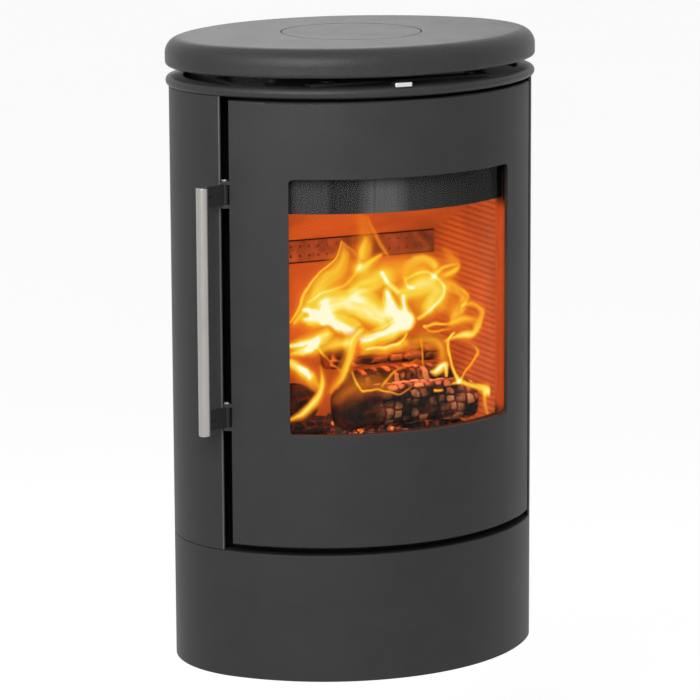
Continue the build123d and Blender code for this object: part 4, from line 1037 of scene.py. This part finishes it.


# Tongues as they were drawn over an enlargement of the photograph: across, down, half width, heat
# in hundredths. The enlargement starts at DRAWN_CORNER in the 700 x 700 picture.
DRAWN_CORNER = (280.0, 160.0)
DRAWN_STEPS = 5.5
PIXEL_SIZE = 0.00113
BACK_TONGUES = [
    [(470, 640, 60, 46), (455, 520, 62, 50), (450, 420, 52, 46), (430, 330, 40, 38),
     (425, 280, 26, 22)],
    [(585, 525, 12, 50), (545, 460, 14, 52), (505, 380, 14, 46), (478, 310, 12, 34)],
    [(450, 560, 40, 60), (450, 500, 30, 58), (460, 450, 16, 40)],
    [(560, 640, 60, 47), (700, 600, 90, 52), (850, 600, 90, 49), (950, 620, 50, 42)],
    [(690, 610, 24, 52), (720, 550, 24, 58), (800, 530, 24, 56), (865, 570, 24, 54),
     (850, 630, 26, 52), (790, 670, 26, 56)],
    [(905, 480, 20, 40), (955, 540, 26, 46), (985, 590, 20, 58), (910, 625, 26, 46)],
    [(740, 380, 16, 24), (790, 430, 14, 26), (830, 470, 10, 20)],
    [(690, 1010, 40, 44), (780, 985, 50, 46), (880, 1010, 46, 44), (900, 1080, 40, 40)],
    [(420, 1000, 60, 40), (560, 1010, 60, 40)],
]
MIDDLE_TONGUES = [
    [(180, 900, 80, 40), (300, 760, 110, 44), (470, 760, 120, 46), (640, 800, 120, 46),
     (800, 760, 100, 44), (940, 800, 60, 36)],
    [(470, 640, 70, 40), (620, 600, 70, 40), (780, 620, 70, 40)],
    [(85, 900, 22, 56), (150, 790, 46, 58), (240, 690, 64, 60), (330, 600, 64, 58),
     (360, 520, 38, 52), (345, 450, 10, 44)],
    [(58, 905, 7, 66), (100, 830, 8, 72), (150, 720, 8, 74), (225, 625, 8, 72), (295, 560, 8, 70),
     (328, 500, 8, 70), (341, 440, 5, 60)],
    [(150, 790, 6, 60), (250, 745, 7, 62), (350, 700, 7, 64), (412, 640, 7, 68), (440, 580, 7, 66),
     (405, 500, 6, 58), (345, 445, 5, 50)],
    [(440, 600, 30, 64), (500, 560, 22, 60), (560, 530, 14, 56)],
    [(420, 720, 50, 54), (500, 680, 60, 56), (600, 650, 50, 60), (560, 630, 16, 74)],
    [(240, 820, 50, 74), (330, 800, 54, 80), (450, 820, 60, 78), (560, 860, 60, 76)],
    [(128, 835, 12, 96), (180, 848, 20, 104)],
    [(130, 893, 16, 92), (220, 885, 34, 104), (300, 905, 42, 110), (390, 950, 44, 112),
     (480, 985, 36, 108), (570, 955, 36, 98), (680, 905, 36, 104)],
    [(255, 800, 14, 86), (240, 850, 22, 96), (230, 900, 20, 92)],
    [(595, 740, 22, 100), (615, 800, 34, 108), (660, 870, 36, 112), (700, 900, 30, 108)],
    [(690, 740, 14, 84), (690, 800, 20, 90), (700, 870, 28, 98)],
    [(700, 720, 50, 62), (790, 700, 70, 64), (860, 720, 60, 64), (820, 810, 50, 62)],
    [(760, 875, 12, 66), (830, 830, 12, 68), (885, 780, 12, 68), (908, 720, 12, 66),
     (880, 665, 9, 74), (800, 622, 8, 66), (700, 650, 8, 60)],
    [(560, 630, 14, 72), (600, 680, 18, 68), (660, 720, 18, 66)],
    [(690, 640, 8, 72), (705, 680, 8, 76), (740, 700, 8, 70)],
    [(850, 650, 20, 66), (900, 610, 18, 64), (975, 590, 12, 62)],
    [(785, 915, 8, 84), (850, 905, 10, 92), (915, 900, 8, 88)],
    [(785, 918, 7, 76), (850, 945, 8, 80), (920, 925, 8, 78)],
    [(930, 700, 30, 54), (1000, 740, 34, 62), (1000, 800, 40, 58), (940, 860, 36, 54)],
    [(490, 1045, 8, 78), (600, 1025, 10, 82), (660, 1000, 9, 82), (690, 960, 8, 84)],
    [(470, 1060, 30, 54), (580, 1050, 34, 56), (680, 1010, 30, 54)],
]
FRONT_TONGUES = [
    [(945, 985, 18, 84), (1010, 965, 26, 96), (1070, 960, 24, 84), (1100, 900, 22, 72),
     (1115, 840, 20, 70), (1070, 805, 16, 66), (1000, 800, 18, 60)],
    [(950, 900, 36, 56), (1010, 880, 36, 60), (1060, 880, 30, 58)],
    [(1000, 720, 14, 62), (1025, 770, 12, 64), (980, 830, 12, 60)],
    [(950, 955, 8, 92), (918, 1000, 9, 98), (925, 1080, 11, 98), (950, 1150, 12, 98),
     (985, 1215, 13, 100)],
    [(940, 960, 6, 80), (900, 1000, 7, 84)],
    [(985, 1220, 8, 92), (1035, 1140, 8, 88), (1088, 1070, 10, 82), (1080, 1030, 9, 74),
     (1030, 1005, 6, 60), (990, 1000, 5, 46)],
    [(950, 1230, 8, 88), (1000, 1222, 12, 100), (1080, 1235, 14, 92), (1150, 1270, 26, 104),
     (1195, 1295, 18, 112)],
    [(1120, 1280, 9, 90), (1120, 1340, 10, 86), (1132, 1405, 8, 74)],
    [(820, 1165, 10, 88), (860, 1160, 20, 104), (900, 1130, 18, 108), (912, 1190, 10, 96)],
    [(850, 1275, 7, 92), (892, 1272, 6, 88)],
    [(58, 1010, 22, 88), (110, 1010, 34, 96), (180, 985, 34, 96), (250, 950, 26, 92)],
    [(60, 1060, 14, 70), (140, 1040, 22, 74), (200, 1000, 20, 72)],
    [(62, 1110, 26, 78), (105, 1140, 34, 86), (150, 1190, 36, 78), (185, 1250, 24, 58)],
    [(100, 1130, 12, 92), (135, 1160, 16, 96), (160, 1200, 12, 84)],
    [(58, 1425, 14, 70), (120, 1400, 22, 78), (180, 1345, 24, 82), (215, 1290, 22, 78),
     (228, 1210, 20, 64), (215, 1140, 14, 44)],
    [(265, 1280, 16, 52), (325, 1190, 30, 66), (370, 1090, 30, 76), (400, 1010, 34, 84),
     (440, 960, 24, 84)],
    [(200, 1040, 40, 60), (280, 1010, 46, 64), (350, 1010, 40, 66)],
    [(300, 1330, 40, 26), (400, 1260, 56, 38), (500, 1230, 56, 40), (600, 1240, 36, 34)],
    [(380, 1185, 5, 76), (425, 1262, 5, 80), (470, 1272, 5, 74), (540, 1265, 5, 78),
     (600, 1280, 5, 74), (650, 1290, 5, 70), (705, 1250, 5, 62)],
    [(200, 1030, 5, 74), (255, 1105, 5, 72), (310, 1165, 4, 60)],
    [(740, 1090, 6, 66), (660, 1140, 6, 66), (600, 1185, 7, 72), (555, 1245, 6, 60)],
    [(778, 1190, 5, 66), (770, 1090, 6, 76), (762, 980, 7, 80)],
    [(60, 905, 5, 60), (110, 890, 6, 70), (130, 880, 5, 72)],
]


def placed(tongues, depth):
    """Drawn tongues in metres on the sheet at y = depth, the wide spread and the thin cooled."""
    eye, ahead, right, up = camera_frame()
    result = []
    for tongue in tongues:
        points = []
        for across, down, half, heat in tongue:
            aside = (DRAWN_CORNER[0] + across / DRAWN_STEPS - PICTURE / 2) / FOCAL_PIXELS
            rise = (PICTURE / 2 - DRAWN_CORNER[1] - down / DRAWN_STEPS) / FOCAL_PIXELS
            look = ahead + right * aside + up * rise
            spot = eye + look * ((depth - eye.y) / look.y)
            spread = 1 + 0.38 * min(1.0, max(0.0, (half - 10) / 20))
            wide = half / DRAWN_STEPS * PIXEL_SIZE * spread
            cooled = min(0.60 + wide * 85, 1.0)
            points.append((spot.x, spot.z, wide + 0.0005, heat / 100 * cooled))
        result.append(points)
    return result


class STOVE_OT_flames(bpy.types.Operator):
    """Raises the flames over the logs"""
    bl_idname = "stove.flames"
    bl_label = "Flames"

    def execute(self, context):
        fire = context.scene.stove_fire
        material = flame_finish(fire.strength)
        for name, depth, bow, tongues, seed in (
                ("flames_back", -0.209, 0.0, BACK_TONGUES, 31),
                ("flames_middle", -0.244, 0.0, MIDDLE_TONGUES, 32),
                ("flames_front", -0.276, 0.004, FRONT_TONGUES, 33)):
            flame_sheet(name, depth, bow, placed(tongues, depth), seed, material)
        for number, (place, power, radius) in enumerate((
                ((0.01, -0.200, 0.070), fire.glow, 0.05),
                ((-0.05, -0.262, 0.010), fire.glow * 0.25, 0.03),
                ((0.07, -0.262, 0.060), fire.glow * 0.3, 0.03))):
            lamp = bpy.data.lights.new(f"fire_glow_{number}", "POINT")
            lamp.energy = power
            lamp.color = (1.0, 0.20, 0.03)
            lamp.shadow_soft_size = radius
            holder = bpy.data.objects.new(f"fire_glow_{number}", lamp)
            holder.location = place
            holder.visible_camera = False
            holder.visible_glossy = False
            context.scene.collection.objects.link(holder)
        return {"FINISHED"}


# Studio

def soft_lamp(name, place, aim, size, power):
    lamp = bpy.data.lights.new(name, "AREA")
    lamp.shape = "RECTANGLE"
    lamp.size, lamp.size_y = size
    lamp.energy = power
    holder = bpy.data.objects.new(name, lamp)
    holder.location = place
    holder.rotation_euler = (Vector(aim) - Vector(place)).to_track_quat("-Z", "Y").to_euler()
    holder.visible_camera = False
    bpy.context.scene.collection.objects.link(holder)


class STOVE_OT_studio(bpy.types.Operator):
    """Sets the floor, the even light, the lamps and the camera"""
    bl_idname = "stove.studio"
    bl_label = "Studio"

    def execute(self, context):
        studio = context.scene.stove_studio
        scene = context.scene
        scene.view_settings.view_transform = "Standard"

        world = bpy.data.worlds.new("studio")
        scene.world = world
        bench = Bench(world)
        tone = bench.mix(bench.seen(), (studio.ambient,) * 3, (1.0, 1.0, 1.0))
        back = bench.add("ShaderNodeBackground", None, {"Color": tone, "Strength": 1.0})
        bench.add("ShaderNodeOutputWorld", None, {"Surface": back})

        bench = new_finish("pale_floor")
        cloud = bench.noise(bench.place(), 1.5, 3.0)
        tone = bench.mix(cloud, (0.86, 0.86, 0.86), (0.90, 0.90, 0.90))
        plain = bench.add("ShaderNodeBsdfDiffuse", None, {"Color": tone})
        lift = bench.add("ShaderNodeEmission", None, {"Color": (1.0, 1.0, 1.0, 1.0),
                                                      "Strength": bench.seen() * 0.76})
        both = bench.add("ShaderNodeAddShader", None, {0: plain, 1: lift})
        bench.add("ShaderNodeOutputMaterial", None, {"Surface": both})
        level = CAD_BOX[0][2] - studio.drop
        marks = np.linspace(-FLOOR_SIZE / 2, FLOOR_SIZE / 2, FLOOR_MARKS)
        points = [(x, y, level) for y in marks for x in marks]
        faces = grid_faces(FLOOR_MARKS, FLOOR_MARKS)
        mesh_piece("studio_floor", points, faces, bench.owner)

        aim = (0.0, -0.19, 0.15)
        soft_lamp("key_lamp", (-0.92, -1.37, 0.95), aim, (1.0, 1.0), studio.key)
        soft_lamp("sheen_lamp", (0.8, 2.0, 1.25), (0.0, -0.19, 0.38), (0.9, 0.4), studio.sheen)

        eye, ahead, right, up = camera_frame()
        lens = bpy.data.cameras.new("camera")
        lens.sensor_width = 36.0
        lens.lens = FOCAL_PIXELS * 36.0 / PICTURE
        lens.clip_end = 200.0
        camera = bpy.data.objects.new("camera", lens)
        turn = Matrix((right, up, -ahead)).transposed().to_4x4()
        camera.matrix_world = Matrix.Translation(eye) @ turn
        scene.collection.objects.link(camera)
        scene.camera = camera
        return {"FINISHED"}


class STOVE_PT_panel(bpy.types.Panel):
    """Lists the steps that dress the stove"""
    bl_idname = "STOVE_PT_panel"
    bl_label = "Wood stove"
    bl_space_type = "VIEW_3D"
    bl_region_type = "UI"
    bl_category = "Stove"

    def draw(self, context):
        for group, names in ((context.scene.stove_looks, ("paint", "inside", "board", "grain")),
                             (context.scene.stove_fire, ("strength", "glow", "coal", "coals")),
                             (context.scene.stove_studio, ("drop", "ambient", "key", "sheen"))):
            for name in names:
                self.layout.prop(group, name)
        for step in STEPS:
            self.layout.operator(step.bl_idname)


STEPS = (STOVE_OT_studio, STOVE_OT_paint, STOVE_OT_metal, STOVE_OT_window, STOVE_OT_rope,
         STOVE_OT_linings, STOVE_OT_logs, STOVE_OT_embers, STOVE_OT_flames)
GROUPS = (StoveLooks, StoveFire, StoveStudio)


def register():
    for kind in GROUPS + STEPS + (STOVE_PT_panel,):
        bpy.utils.register_class(kind)
    bpy.types.Scene.stove_looks = bpy.props.PointerProperty(type=StoveLooks)
    bpy.types.Scene.stove_fire = bpy.props.PointerProperty(type=StoveFire)
    bpy.types.Scene.stove_studio = bpy.props.PointerProperty(type=StoveStudio)


def unregister():
    del bpy.types.Scene.stove_studio
    del bpy.types.Scene.stove_fire
    del bpy.types.Scene.stove_looks
    for kind in reversed(GROUPS + STEPS + (STOVE_PT_panel,)):
        bpy.utils.unregister_class(kind)


def main():
    register()
    for step in STEPS:
        group, name = step.bl_idname.split(".")
        getattr(getattr(bpy.ops, group), name)()


if __name__ == "__main__":
    main()
